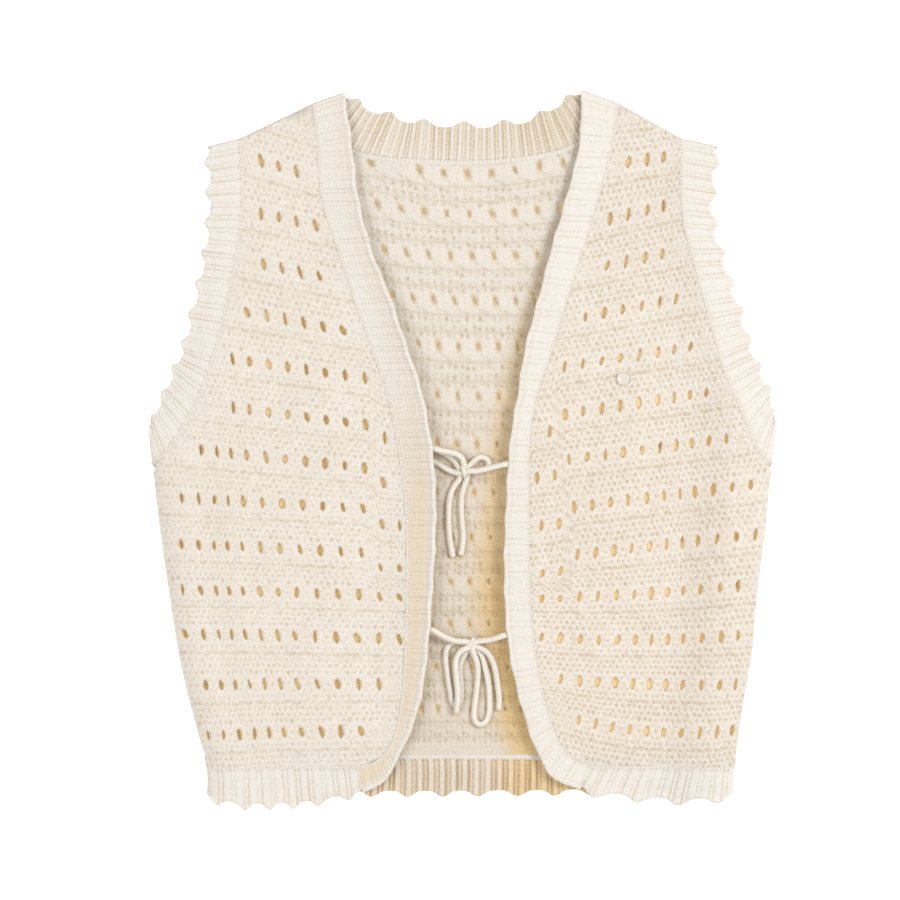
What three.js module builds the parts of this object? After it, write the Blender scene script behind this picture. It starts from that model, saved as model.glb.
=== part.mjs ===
// Open-front knitted vest, laid out on its back on a flat surface.
//
// Millimetres. +X is across the vest, towards the wearer's left, +Y runs from the hem up to the
// neck and +Z is up off the surface. Z = 0 is the underside of the back panel.
//
// Every knitted piece is a wall that follows one of two height fields: the back lies flat and curls
// up at its sides, and each front rises from the side fold over a soft roll, comes down on the back
// and lifts again towards its free edge. "Right" and "left" are the wearer's.
import * as THREE from "three";

// Cloth
const KNIT = 3; // wall of the openwork body and of the ribs
const GAP = 0.3; // clearance between layers that lie on each other
const SEAM_GAP = 0.4; // clearance in plan between a panel and the rib on it
const FOLD_GAP = 0.7; // clearance along the side fold, between the front and the back
const BACK_MID = KNIT / 2; // middle of the back's wall above the surface
const FRONT_MID = 1.5 * KNIT + GAP; // middle of a front's wall where it lies on the back
const BACK_CURL = 13; // width over which the back turns up to the side fold
const EDGE_LIFT_WIDTH = 45; // width over which a front rises to its free edge
const HEM_SEAM_Y = -234.5; // hem rib starts here on the fronts
const BACK_HEM_SEAM_Y = -227; // and here on the back
const UNDERARM_Y = -11; // side fold ends and armhole starts

// Scalloped edges: length of one scallop and how deep its valley is
const ARM_SCALLOP = { pitch: 24, depth: 5 };
const HEM_SCALLOP = { pitch: 25, depth: 5 };
const NECK_SCALLOP = { pitch: 28, depth: 5 };
const PLAIN_EDGE = { pitch: 26, depth: 0.8 };
const BACK_ARM_INSET = 4; // the back's armhole rib is hidden under the front's by this much

// Ties
const CORD = 4.4; // diameter of the knitted cord
const CORD_SIDES = 8;
const CORD_STEP = 9; // length of one facet along a cord
const KNOT_SIZE = { x: 5.2, y: 5.4, z: 4.9 }; // half sizes of a bow's knot

// Disc sewn on the left front
const DISC = { x: 120, y: 52.5, radius: 5, thickness: 1.6 };

// Heights along the vest. fold and back are the heights of the outermost line of the front and the
// back, steep is 1 where they turn vertically into the side fold, crest is the top of the side roll,
// crestIn and footIn are the distances in from the outline of its top and its foot, and lift is how
// far the free edge of a front stands above its flat part.
const HEIGHTS = [
  { y: -262, fold: 10.5, back: 10.5, steep: 1, crest: 20, crestIn: 15, footIn: 50, lift: 5 },
  { y: -215, fold: 10.5, back: 10.5, steep: 1, crest: 23, crestIn: 16, footIn: 52, lift: 9 },
  { y: -130, fold: 10.5, back: 10.5, steep: 1, crest: 25, crestIn: 18, footIn: 54, lift: 12 },
  { y: -40, fold: 10.5, back: 10.5, steep: 1, crest: 24, crestIn: 20, footIn: 56, lift: 12 },
  { y: 0, fold: 10.5, back: 10.5, steep: 1, crest: 20, crestIn: 22, footIn: 58, lift: 12 },
  { y: 15, fold: 11, back: 10, steep: 1, crest: 17.5, crestIn: 23, footIn: 59, lift: 12 },
  { y: 42, fold: 5.8, back: 1.5, steep: 0, crest: 12.5, crestIn: 24, footIn: 60, lift: 12 },
  { y: 75, fold: 5.2, back: 1.5, steep: 0, crest: 8.5, crestIn: 24, footIn: 60, lift: 12 },
  { y: 120, fold: 5, back: 1.5, steep: 0, crest: 6, crestIn: 24, footIn: 60, lift: 11 },
  { y: 180, fold: 4.9, back: 1.5, steep: 0, crest: 4.9, crestIn: 24, footIn: 60, lift: 9 },
  { y: 266, fold: 4.8, back: 1.5, steep: 0, crest: 4.8, crestIn: 24, footIn: 60, lift: 3 },
];

// Outline of the two fronts. side is the side fold; arm and band are the ribs, each row one rib line
// from the seam to the free edge; hem is the hem rib; crestShare scales the height of the side roll.
const FRONTS = {
  right: {
    inward: 1,
    crestShare: 1,
    side: [
      { y: -262, x: -187 },
      { y: -234.5, x: -187.5 },
      { y: -208.5, x: -194 },
      { y: -180.5, x: -201.5 },
      { y: -148, x: -208.5 },
      { y: -103.5, x: -215.5 },
      { y: -59, x: -222 },
      { y: -33, x: -225 },
      { y: -11, x: -227.5 },
    ],
    arm: [
      { seamX: -227.5, y: -11, edgeX: -230, edgeY: 12 },
      { seamX: -215, y: 0.5, edgeX: -227, edgeY: 24.5 },
      { seamX: -204.5, y: 17, edgeX: -221, edgeY: 37 },
      { seamX: -193.5, y: 37, edgeX: -213.5, edgeY: 55 },
      { seamX: -183, y: 66.5, edgeX: -205.5, edgeY: 74 },
      { seamX: -174.5, y: 100, edgeX: -198, edgeY: 103.5 },
      { seamX: -166, y: 142, edgeX: -189, edgeY: 144.5 },
      { seamX: -161, y: 181.5, edgeX: -186, edgeY: 180.5 },
      { seamX: -162.5, y: 229.5, edgeX: -187, edgeY: 223.5 },
    ],
    band: [
      { seamX: -74.5, y: -234.5, edgeX: -72, edgeY: -252.5 },
      { seamX: -63.5, y: -231, edgeX: -58, edgeY: -246.5 },
      { seamX: -54.5, y: -223.5, edgeX: -49, edgeY: -233 },
      { seamX: -47.5, y: -208.5, edgeX: -38, edgeY: -211 },
      { seamX: -42.5, y: -180.5, edgeX: -29, edgeY: -183 },
      { seamX: -40.5, y: -148, edgeX: -24, edgeY: -148 },
      { seamX: -39.5, y: -103.5, edgeX: -20.5, edgeY: -103.5 },
      { seamX: -39.5, y: -55.5, edgeX: -18, edgeY: -55.5 },
      { seamX: -44, y: -9.5, edgeX: -19.5, edgeY: -9.5 },
      { seamX: -53.5, y: 40, edgeX: -28, edgeY: 41.5 },
      { seamX: -65.5, y: 75.5, edgeX: -39, edgeY: 75.5 },
      { seamX: -78, y: 111, edgeX: -51.5, edgeY: 112.5 },
      { seamX: -89, y: 144.5, edgeX: -65, edgeY: 146.5 },
      { seamX: -102, y: 185, edgeX: -75, edgeY: 185 },
      { seamX: -105.5, y: 225.5, edgeX: -80.5, edgeY: 228.5 },
      { seamX: -108.5, y: 255.5, edgeX: -85.5, edgeY: 263.5 },
    ],
    hem: [
      { x: -187.5, edgeX: -187, edgeY: -256 },
      { x: -170.5, edgeX: -170.5, edgeY: -261 },
      { x: -142.5, edgeX: -142.5, edgeY: -263 },
      { x: -107.5, edgeX: -107.5, edgeY: -260.5 },
      { x: -89, edgeX: -88.5, edgeY: -256.5 },
      { x: -74.5, edgeX: -72, edgeY: -252.5 },
    ],
  },
  left: {
    inward: -1,
    crestShare: 0.8,
    side: [
      { y: -262, x: 201 },
      { y: -234.5, x: 202.5 },
      { y: -208.5, x: 205.5 },
      { y: -180.5, x: 210 },
      { y: -148, x: 215.5 },
      { y: -103.5, x: 219.5 },
      { y: -59, x: 225 },
      { y: -33, x: 227.5 },
      { y: -11, x: 230 },
    ],
    arm: [
      { seamX: 230, y: -11, edgeX: 231.5, edgeY: 13.5 },
      { seamX: 219.5, y: 0.5, edgeX: 231, edgeY: 28 },
      { seamX: 211.5, y: 18.5, edgeX: 229, edgeY: 40.5 },
      { seamX: 203, y: 38.5, edgeX: 224, edgeY: 53.5 },
      { seamX: 194, y: 60.5, edgeX: 216.5, edgeY: 71 },
      { seamX: 184, y: 97.5, edgeX: 207, edgeY: 102 },
      { seamX: 174.5, y: 131.5, edgeX: 197, edgeY: 133 },
      { seamX: 164.5, y: 174, edgeX: 187, edgeY: 171.5 },
      { seamX: 163, y: 229.5, edgeX: 190, edgeY: 223.5 },
    ],
    band: [
      { seamX: 97.5, y: -234.5, edgeX: 88.5, edgeY: -250 },
      { seamX: 84.5, y: -229.5, edgeX: 73.5, edgeY: -245.5 },
      { seamX: 76, y: -222, edgeX: 64, edgeY: -237 },
      { seamX: 68.5, y: -207, edgeX: 53.5, edgeY: -216 },
      { seamX: 60.5, y: -180.5, edgeX: 43.5, edgeY: -184.5 },
      { seamX: 55, y: -151.5, edgeX: 36.5, edgeY: -153 },
      { seamX: 51.5, y: -122, edgeX: 33, edgeY: -122 },
      { seamX: 50, y: -81.5, edgeX: 32, edgeY: -81.5 },
      { seamX: 50, y: -37, edgeX: 33.5, edgeY: -37 },
      { seamX: 50.5, y: 7.5, edgeX: 36.5, edgeY: 7.5 },
      { seamX: 56, y: 41.5, edgeX: 42, edgeY: 42 },
      { seamX: 67, y: 74, edgeX: 47.5, edgeY: 75.5 },
      { seamX: 78, y: 111, edgeX: 57.5, edgeY: 113 },
      { seamX: 90, y: 148, edgeX: 67, edgeY: 149.5 },
      { seamX: 101, y: 185, edgeX: 77.5, edgeY: 185.5 },
      { seamX: 112, y: 225.5, edgeX: 87.5, edgeY: 227 },
      { seamX: 116, y: 255.5, edgeX: 89, edgeY: 265.5 },
    ],
    hem: [
      { x: 97.5, edgeX: 88.5, edgeY: -250 },
      { x: 112, edgeX: 107.5, edgeY: -254.5 },
      { x: 133, edgeX: 133, edgeY: -257 },
      { x: 162.5, edgeX: 162.5, edgeY: -259.5 },
      { x: 186, edgeX: 186, edgeY: -258.5 },
      { x: 202.5, edgeX: 201, edgeY: -255 },
    ],
  },
};

// Rib round the back of the neck, from the right shoulder to the left one, and the back's hem rib.
const BACK_NECK = [
  { x: -108.5, seamY: 255.2, edgeX: -85.5, edgeY: 263.2 },
  { x: -94.5, seamY: 232.5, edgeX: -75, edgeY: 256.5 },
  { x: -79, seamY: 221.5, edgeX: -62.5, edgeY: 251 },
  { x: -56.5, seamY: 216, edgeX: -46, edgeY: 246 },
  { x: -27, seamY: 214, edgeX: -25, edgeY: 242 },
  { x: 2.5, seamY: 213, edgeX: 3.5, edgeY: 240.5 },
  { x: 33, seamY: 214.5, edgeX: 32, edgeY: 241.5 },
  { x: 62, seamY: 218.5, edgeX: 56, edgeY: 246.5 },
  { x: 82.5, seamY: 225, edgeX: 68.5, edgeY: 254 },
  { x: 102, seamY: 237, edgeX: 80.5, edgeY: 260.5 },
  { x: 116, seamY: 255.2, edgeX: 89, edgeY: 265.2 },
];
const BACK_HEM = [
  { x: -188, edgeX: -187, edgeY: -252 },
  { x: -60, edgeX: -60, edgeY: -254 },
  { x: 80, edgeX: 80, edgeY: -253 },
  { x: 203, edgeX: 201, edgeY: -251 },
];

// Routes of the tie cords, each the middle line [x, y, z] of one stretch outside the knots.
const UPPER_KNOT = [3, -15.5, 8.3];
const LOWER_KNOT = [8.5, -143, 8.3];
const CORDS = {
  tie_upper_right: [
    [-17, 0.5, 15], [-13, -0.8, 14.2], [-8, -1.6, 13.2], [-3, -3, 12.3], [1, -6, 11.5],
    [2.6, -10.2, 10.7],
  ],
  tie_upper_left: [
    [33.2, -10.6, 15.5], [29, -11.4, 14.4], [23.5, -12.8, 13.4], [17, -14.6, 12.6], [11.5, -15.6, 11.8],
    [8, -15.7, 11.3],
  ],
  loop_upper_left: [
    [-2.7, -16.9, 7.2], [-8, -15.2, 5.9], [-12, -13, 5.6], [-17.5, -9.8, 5.6], [-22.5, -8, 5.6],
    [-26.5, -5.8, 5.6], [-27.2, -2.2, 5.6], [-23.5, 0.4, 5.6], [-17.5, -0.2, 5.6], [-11.5, -2.6, 5.6],
    [-6.5, -6.2, 5.8], [-2.6, -10.6, 6.4],
  ],
  loop_upper_right: [
    [7.3, -11, 7.5], [11, -7.4, 7], [14.5, -5.6, 6.4], [18.5, -6.2, 5.8], [20.8, -9, 5.6],
    [20.2, -12.4, 5.6], [16.5, -14.8, 5.6], [9, -15.9, 5.6],
  ],
  tail_upper_right: [
    [4.7, -21.2, 6.4], [2.8, -27, 5.6], [1.2, -33, 5.6], [0.6, -41, 5.6], [1, -51, 5.6], [2, -61.5, 5.6],
    [1.5, -71, 5.6], [0.2, -78, 5.6],
  ],
  tail_upper_left: [
    [-0.8, -21.4, 6.4], [-4.4, -26.4, 5.7], [-7.2, -32.5, 5.6], [-8.6, -42, 5.6], [-8.7, -54, 5.6],
    [-7.8, -66.5, 5.6], [-6.5, -74, 5.6], [-5.3, -79.5, 5.6],
  ],
  tie_lower_right: [
    [-19, -133.5, 15], [-14.6, -136.2, 13.8], [-9.6, -138.8, 12.6], [-4.4, -140.6, 11.8],
    [0.2, -141.3, 11.4], [3.5, -141.4, 11.2],
  ],
  tie_lower_left: [[31.5, -137, 15.5], [27, -138.6, 13.8], [21.5, -140.2, 12], [13.8, -141.2, 10.6]],
  loop_lower_left: [
    [9.3, -149, 9.3], [11.6, -155, 9], [12.8, -161.5, 7.8], [12.5, -171.5, 6], [11.2, -183.5, 5.6],
    [10, -194, 5.6], [11, -200.4, 5.6], [15, -202.8, 5.6], [19.4, -199.8, 5.6], [21.3, -193, 5.6],
    [21.3, -180, 5.6], [20.2, -170, 5.6], [18, -160.5, 5.6], [15.5, -152.4, 5.6],
  ],
  tail_lower_left: [
    [14, -146.2, 8.8], [19, -149, 7.8], [23, -154.4, 6.4], [25.6, -162, 5.6], [27.4, -173, 5.6],
    [28.6, -183.5, 5.6], [28.3, -192.5, 5.6],
  ],
  loop_lower_right: [
    [3.2, -142.1, 5.7], [-5.4, -142.6, 5.6], [-9.6, -146, 5.6], [-11, -152.5, 5.6], [-10.2, -161.5, 5.6],
    [-8.8, -171.5, 5.6], [-7.4, -179, 5.6], [-6.6, -184.8, 5.6], [-3.9, -188.4, 5.6], [-0.9, -186.6, 5.6],
    [0.2, -181.5, 5.6], [0.2, -173, 5.6], [-0.6, -164.5, 5.6], [0.2, -157, 5.6], [3.8, -150, 5.6],
  ],
  tail_lower_right: [
    [3.9, -146.6, 10.9], [-0.4, -149.4, 10.7], [-3, -154, 10.6], [-3.6, -160, 10.6], [-3, -168.5, 10.6],
    [-2, -178.5, 10.6], [-2.4, -187, 10.4], [-3.4, -194.6, 8],
  ],
};

// Rows of the panels, as shares of the height below and above the underarm, and their columns. They
// are closest where the cloth turns into the side fold.
const ROWS_BELOW = [0, 0.008, 0.026, 0.055, 0.1, 0.17, 0.26, 0.38, 0.52, 0.66, 0.8, 0.92, 1];
const ROWS_ABOVE = [
  0.0012, 0.006, 0.02, 0.051, 0.124, 0.197, 0.27, 0.343, 0.416, 0.489, 0.562, 0.635, 0.708, 0.781, 0.854,
  0.927, 1,
];
const FRONT_COLUMNS = [0, 0.0012, 0.01, 0.035, 0.08, 0.14, 0.21, 0.29, 0.42, 0.6, 0.8, 0.94, 1];
const BACK_SIDE_COLUMNS = [0, 0.0005, 0.004, 0.013, 0.035, 0.13];
const NECK_COLUMNS = 10;

const lerp = THREE.MathUtils.lerp;
const clamp = THREE.MathUtils.clamp;

// A smooth function through one named column of a table, over another column that rises row by row.
function column(rows, key, name) {
  const at = rows.map((row) => row[key]);
  const value = rows.map((row) => row[name]);
  const last = rows.length - 1;
  const slope = value.map((_, i) => {
    const low = Math.max(i - 1, 0);
    const high = Math.min(i + 1, last);
    return (value[high] - value[low]) / (at[high] - at[low]);
  });
  return (where) => {
    const w = clamp(where, at[0], at[last]);
    const i = clamp(at.findIndex((a) => a >= w) - 1, 0, last - 1);
    const span = at[i + 1] - at[i];
    const t = (w - at[i]) / span;
    const rise = value[i + 1] - value[i];
    const bendLow = slope[i] * span - rise;
    const bendHigh = rise - slope[i + 1] * span;
    return value[i] + rise * t + t * (1 - t) * (bendLow * (1 - t) + bendHigh * t);
  };
}

const height = Object.fromEntries(
  ["fold", "back", "steep", "crest", "crestIn", "footIn", "lift"].map((n) => [n, column(HEIGHTS, "y", n)]),
);

// Adds to a front the functions of height that its panel, ribs and height field share.
function withOutline(front) {
  const side = column(front.side, "y", "x");
  const armSeam = column(front.arm, "y", "seamX");
  const [fold, ...free] = front.arm.map((r) => ({ y: r.edgeY, x: r.edgeX }));
  const underarm = front.side.at(-1);
  // The side fold runs on through the armhole rib, past the deepest reach of its first scallop.
  const foldSlope = (fold.x - underarm.x) / (fold.y - underarm.y);
  const foldTop = { y: fold.y + ARM_SCALLOP.depth, x: fold.x + foldSlope * ARM_SCALLOP.depth };
  const freeEdge = column([foldTop, ...free], "y", "x");
  return {
    ...front,
    sideSeam: (y) => (y < UNDERARM_Y ? side(y) : armSeam(y)),
    outline: (y) => {
      if (y < UNDERARM_Y) return side(y);
      if (y < foldTop.y) return underarm.x + foldSlope * (y - underarm.y);
      return freeEdge(y);
    },
    bandSeam: column(front.band, "y", "seamX"),
    bandEdge: column(
      front.band.map((r) => ({ y: r.edgeY, x: r.edgeX })),
      "y",
      "x",
    ),
  };
}
const right = withOutline(FRONTS.right);
const left = withOutline(FRONTS.left);

// Quarter of an ellipse (steep = 1) or of a sine (steep = 0), from 0 at share 0 to 1 at share 1.
function quarter(share, steep) {
  const s = clamp(share, 0, 1);
  return lerp(Math.sin((s * Math.PI) / 2), Math.sqrt(1 - (1 - s) ** 2), clamp(steep, 0, 1));
}

// Height of the middle of a front's wall over the point (x, y).
function frontHeight(front, x, y) {
  const inFromSide = Math.max(0, (x - front.outline(y)) * front.inward);
  const inFromEdge = Math.max(0, (front.bandEdge(y) - x) * front.inward);
  const fold = height.fold(y) + FOLD_GAP / 2;
  const crest = FRONT_MID + (height.crest(y) - FRONT_MID) * front.crestShare;
  const crestIn = height.crestIn(y);
  const footIn = height.footIn(y);
  const lift = height.lift(y) * Math.max(0, 1 - inFromEdge / EDGE_LIFT_WIDTH) ** 2;
  if (inFromSide < crestIn) {
    return lerp(fold, Math.max(crest, fold), quarter(inFromSide / crestIn, height.steep(y))) + lift;
  }
  const down = clamp((inFromSide - crestIn) / (footIn - crestIn), 0, 1);
  return lerp(Math.max(crest, fold), FRONT_MID, (1 - Math.cos(Math.PI * down)) / 2) + lift;
}

// Height of the middle of the back's wall over the point (x, y).
function backHeight(x, y) {
  const inFromSide = Math.max(0, Math.min(x - right.outline(y), left.outline(y) - x));
  const fold = Math.max(BACK_MID, height.back(y) - FOLD_GAP / 2);
  return lerp(fold, BACK_MID, quarter(inFromSide / BACK_CURL, height.steep(y)));
}

// A closed wall of the given thickness about a grid of points of its middle surface. The rows run
// along the piece and the points of a row across it, so that the wall's upper face is up.
function wall(rows, thickness = KNIT) {
  const down = rows.length;
  const across = rows[0].length;
  const points = [];
  for (const side of [1, -1]) {
    rows.forEach((row, i) =>
      row.forEach((p, j) => {
        const along = rows[Math.min(i + 1, down - 1)][j].clone().sub(rows[Math.max(i - 1, 0)][j]);
        const over = row[Math.min(j + 1, across - 1)].clone().sub(row[Math.max(j - 1, 0)]);
        const normal = over.cross(along).normalize();
        points.push(p.clone().addScaledVector(normal, (side * thickness) / 2));
      }),
    );
  }
  const upper = (i, j) => i * across + j;
  const lower = (i, j) => down * across + i * across + j;
  const faces = [];
  const quad = (a, b, c, d) => faces.push(a, b, c, a, c, d);
  for (let i = 0; i < down - 1; i++) {
    for (let j = 0; j < across - 1; j++) {
      quad(upper(i, j), upper(i, j + 1), upper(i + 1, j + 1), upper(i + 1, j));
      quad(lower(i, j), lower(i + 1, j), lower(i + 1, j + 1), lower(i, j + 1));
    }
    quad(upper(i, 0), upper(i + 1, 0), lower(i + 1, 0), lower(i, 0));
    quad(upper(i, across - 1), lower(i, across - 1), lower(i + 1, across - 1), upper(i + 1, across - 1));
  }
  for (let j = 0; j < across - 1; j++) {
    quad(upper(0, j), lower(0, j), lower(0, j + 1), upper(0, j + 1));
    quad(upper(down - 1, j), upper(down - 1, j + 1), lower(down - 1, j + 1), lower(down - 1, j));
  }
  const geometry = new THREE.BufferGeometry().setFromPoints(points);
  geometry.setIndex(faces);
  geometry.computeVertexNormals();
  return geometry;
}

const cream = (color) => new THREE.MeshStandardMaterial({ color, roughness: 0.95, metalness: 0 });
const MATERIALS = {
  knit: cream(0xf4ead6),
  rib: cream(0xf2e8d4),
  cord: cream(0xf8f3e8),
  pearl: new THREE.MeshStandardMaterial({ color: 0xf3ece0, roughness: 0.35, metalness: 0 }),
};
const vest = new THREE.Group();

function addMesh(name, geometry, material) {
  const mesh = new THREE.Mesh(geometry, material);
  mesh.name = name;
  vest.add(mesh);
}

// Heights of the rows of a panel between its hem seam and its top, with one row at the underarm.
function rowHeights(bottom, top) {
  const below = ROWS_BELOW.map((share) => lerp(bottom, UNDERARM_Y, share));
  const above = ROWS_ABOVE.map((share) => lerp(UNDERARM_Y, top, share));
  return [...below, ...above];
}

const shoulderY = (front) => ({ outer: front.arm.at(-1).y, inner: front.band.at(-1).y });
const onFront = (front, x, y) => new THREE.Vector3(x, y, frontHeight(front, x, y));
const onBack = (x, y) => new THREE.Vector3(x, y, backHeight(x, y));

// Seam vertices of a front: its rows' ends on the side and armhole, and on the front band.
function frontSeams(front) {
  const { outer, inner } = shoulderY(front);
  const sideYs = rowHeights(HEM_SEAM_Y, outer);
  return sideYs.map((y) => {
    const bandY = lerp(HEM_SEAM_Y, inner, (y - HEM_SEAM_Y) / (outer - HEM_SEAM_Y));
    return { side: [front.sideSeam(y), y], band: [front.bandSeam(bandY), bandY] };
  });
}

function frontPanel(front) {
  const columns = front.inward > 0 ? FRONT_COLUMNS : FRONT_COLUMNS.map((c) => 1 - c).reverse();
  const rows = frontSeams(front).map(({ side, band }) => {
    const [from, to] = front.inward > 0 ? [side, band] : [band, side];
    return columns.map((c) => onFront(front, lerp(from[0], to[0], c), lerp(from[1], to[1], c)));
  });
  return wall(rows);
}

// A rib as a list of its rib lines, each from the seam at share 0 to the free edge at share 1.
// length is the seam-to-edge length of a line and at(share) is a point [x, y] on it.
function straightLine(seam, edge) {
  const length = Math.hypot(edge[0] - seam[0], edge[1] - seam[1]);
  return { length, at: (share) => [lerp(seam[0], edge[0], share), lerp(seam[1], edge[1], share)] };
}

// Rib lines that run over the height: one at each seam point, and `steps` facets between two.
function uprightLines(table, seamPoints, { steps, inset = 0 }) {
  const edgeX = column(table, "y", "edgeX");
  const edgeY = column(table, "y", "edgeY");
  const full = seamPoints.map(([x, y]) => straightLine([x, y], [edgeX(y), edgeY(y)]));
  const ends = full.map((line) => [line.at(0), line.at(1 - inset / line.length)]);
  return between(ends, steps).map(([seam, edge]) => straightLine(seam, edge));
}

// Points of several matched lines, with steps - 1 more between each two.
function between(list, steps) {
  const parts = list.slice(1).flatMap((next, i) =>
    Array.from({ length: steps }, (_, k) =>
      list[i].map((p, n) => [0, 1].map((c) => lerp(p[c], next[n][c], k / steps))),
    ),
  );
  return [...parts, list.at(-1)];
}

// Rib lines of a hem, at shares of its width. from(y) and to(y) are its two ends, so that the first
// and last lines follow a side fold or a corner exactly.
function hemLines(table, shares, seamY, from, to, steps) {
  const edgeY = column(table, "x", "edgeY");
  const fine = between(
    shares.map((u) => [[u, 0]]),
    steps,
  ).map(([[u]]) => u);
  return fine.map((u) => {
    const foot = edgeY(lerp(from(seamY), to(seamY), u));
    const at = (share) => {
      const y = lerp(seamY, foot, share);
      return [lerp(from(y), to(y), u), y];
    };
    return { length: seamY - foot, at };
  });
}

// The wall of a rib. Its free edge is scalloped, and its seam side stands SEAM_GAP off the panel.
function ribWall(lines, place, { scallop, across = 2, phase = 0, turned = false }) {
  let sum = 0;
  const along = lines.map((line, i) => {
    const [x, y] = line.at(1);
    const [px, py] = lines[Math.max(i - 1, 0)].at(1);
    sum += Math.hypot(x - px, y - py);
    return sum;
  });
  const waves = Math.max(1, Math.round(sum / scallop.pitch));
  const rows = lines.map((line, i) => {
    const turn = 2 * Math.PI * ((waves * along[i]) / sum + phase);
    const reach = 1 + (scallop.depth * Math.cos(turn)) / (2 * line.length);
    const row = Array.from({ length: across + 1 }, (_, j) =>
      place(...line.at(lerp(SEAM_GAP / line.length, reach, j / across))),
    );
    return turned ? row.reverse() : row;
  });
  return wall(rows);
}

function addFront(name, front) {
  const seams = frontSeams(front);
  const place = (x, y) => onFront(front, x, y);
  const isRight = front.inward > 0;
  addMesh(`front_${name}`, frontPanel(front), MATERIALS.knit);

  const bandLines = uprightLines(
    front.band,
    seams.map((s) => s.band),
    { steps: 1 },
  );
  const band = ribWall(bandLines, place, { scallop: PLAIN_EDGE, turned: !isRight });
  addMesh(`band_front_${name}`, band, MATERIALS.rib);

  const armSeam = seams.slice(ROWS_BELOW.length - 1).map((s) => s.side);
  const armLines = uprightLines(front.arm, armSeam, { steps: 3 });
  const arm = ribWall(armLines, place, { scallop: ARM_SCALLOP, turned: isRight });
  addMesh(`armhole_rib_front_${name}`, arm, MATERIALS.rib);
  const backArmLines = uprightLines(front.arm, armSeam, { steps: 3, inset: BACK_ARM_INSET });
  const backArm = ribWall(backArmLines, onBack, { scallop: ARM_SCALLOP, across: 1, turned: isRight });
  addMesh(`armhole_rib_back_${name}`, backArm, MATERIALS.rib);

  // The hem ends clear of the corner of the front band, along the band's first rib line.
  const corner = front.band[0];
  const slant = (corner.edgeX - corner.seamX) / (corner.edgeY - corner.y);
  const cornerX = (y) => corner.seamX + slant * (y - corner.y) - SEAM_GAP * front.inward;
  const hemEnds = isRight ? [front.outline, cornerX] : [cornerX, front.outline];
  const shares = isRight ? FRONT_COLUMNS : FRONT_COLUMNS.map((c) => 1 - c).reverse();
  const lines = hemLines(front.hem, shares, HEM_SEAM_Y, ...hemEnds, 3);
  const hem = ribWall(lines, place, { scallop: HEM_SCALLOP, phase: 0.5, turned: true });
  addMesh(`hem_rib_front_${name}`, hem, MATERIALS.rib);
}

// Top edge of the back, from the right shoulder round the neck to the left shoulder, as [x, y].
function backTop() {
  const shoulder = (front, share) => [
    lerp(front.arm.at(-1).seamX, front.band.at(-1).seamX, share),
    lerp(front.arm.at(-1).y, BACK_NECK[0].seamY, share),
  ];
  const last = BACK_SIDE_COLUMNS.at(-1);
  const shares = BACK_SIDE_COLUMNS.map((c) => c / last);
  const neckX = (share) => lerp(BACK_NECK[0].x, BACK_NECK.at(-1).x, share);
  const neckY = column(BACK_NECK, "x", "seamY");
  const neck = Array.from({ length: NECK_COLUMNS - 1 }, (_, i) => neckX((i + 1) / NECK_COLUMNS));
  return [
    ...shares.map((s) => shoulder(right, s)),
    ...neck.map((x) => [x, neckY(x)]),
    ...shares.map((s) => shoulder(left, s)).reverse(),
  ];
}

// Shares of the width at which the back's columns stand along its hem.
function backColumns() {
  const last = BACK_SIDE_COLUMNS.at(-1);
  const middle = Array.from({ length: NECK_COLUMNS - 1 }, (_, i) =>
    lerp(last, 1 - last, (i + 1) / NECK_COLUMNS),
  );
  return [...BACK_SIDE_COLUMNS, ...middle, ...BACK_SIDE_COLUMNS.map((c) => 1 - c).reverse()];
}

// The back: rows between the two side seams, bent so that the top row follows the neck.
function addBack() {
  const top = backTop();
  const shares = backColumns();
  const ys = rowHeights(BACK_HEM_SEAM_Y, right.arm.at(-1).y);
  const corner = { low: BACK_HEM_SEAM_Y, high: ys.at(-1) };
  const rows = ys.map((y) => {
    const v = (y - corner.low) / (corner.high - corner.low);
    const ends = [right.sideSeam(y), left.sideSeam(y)];
    const topEnds = [top[0], top.at(-1)];
    return shares.map((u, j) => {
      const straightX = lerp(topEnds[0][0], topEnds[1][0], u);
      const x = lerp(ends[0], ends[1], u) + v * (top[j][0] - straightX);
      return onBack(x, y + v * (top[j][1] - corner.high));
    });
  });
  addMesh("back_panel", wall(rows), MATERIALS.knit);

  const neckSeam = top.slice(BACK_SIDE_COLUMNS.length - 1, top.length - BACK_SIDE_COLUMNS.length + 1);
  const edgeX = column(BACK_NECK, "x", "edgeX");
  const edgeY = column(BACK_NECK, "x", "edgeY");
  const neckEnds = neckSeam.map(([x, y]) => [
    [x, y],
    [edgeX(x), edgeY(x)],
  ]);
  const neckLines = between(neckEnds, 4).map(([seam, edge]) => straightLine(seam, edge));
  addMesh("neck_rib_back", ribWall(neckLines, onBack, { scallop: NECK_SCALLOP, phase: 0.5 }), MATERIALS.rib);

  const lines = hemLines(BACK_HEM, shares, BACK_HEM_SEAM_Y, right.outline, left.outline, 3);
  addMesh("hem_rib_back", ribWall(lines, onBack, { scallop: HEM_SCALLOP, turned: true }), MATERIALS.rib);
}

// A round cord along the points of a route, with flat ends.
function cordGeometry(route) {
  const curve = new THREE.CatmullRomCurve3(route.map((p) => new THREE.Vector3(...p)));
  const section = new THREE.Shape();
  for (let i = 0; i < CORD_SIDES; i++) {
    const turn = (2 * Math.PI * i) / CORD_SIDES;
    const point = [(CORD / 2) * Math.cos(turn), (CORD / 2) * Math.sin(turn)];
    if (i) section.lineTo(...point);
    else section.moveTo(...point);
  }
  const steps = Math.max(4, Math.round(curve.getLength() / CORD_STEP));
  return new THREE.ExtrudeGeometry(section, { steps, extrudePath: curve, curveSegments: 1 });
}

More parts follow.
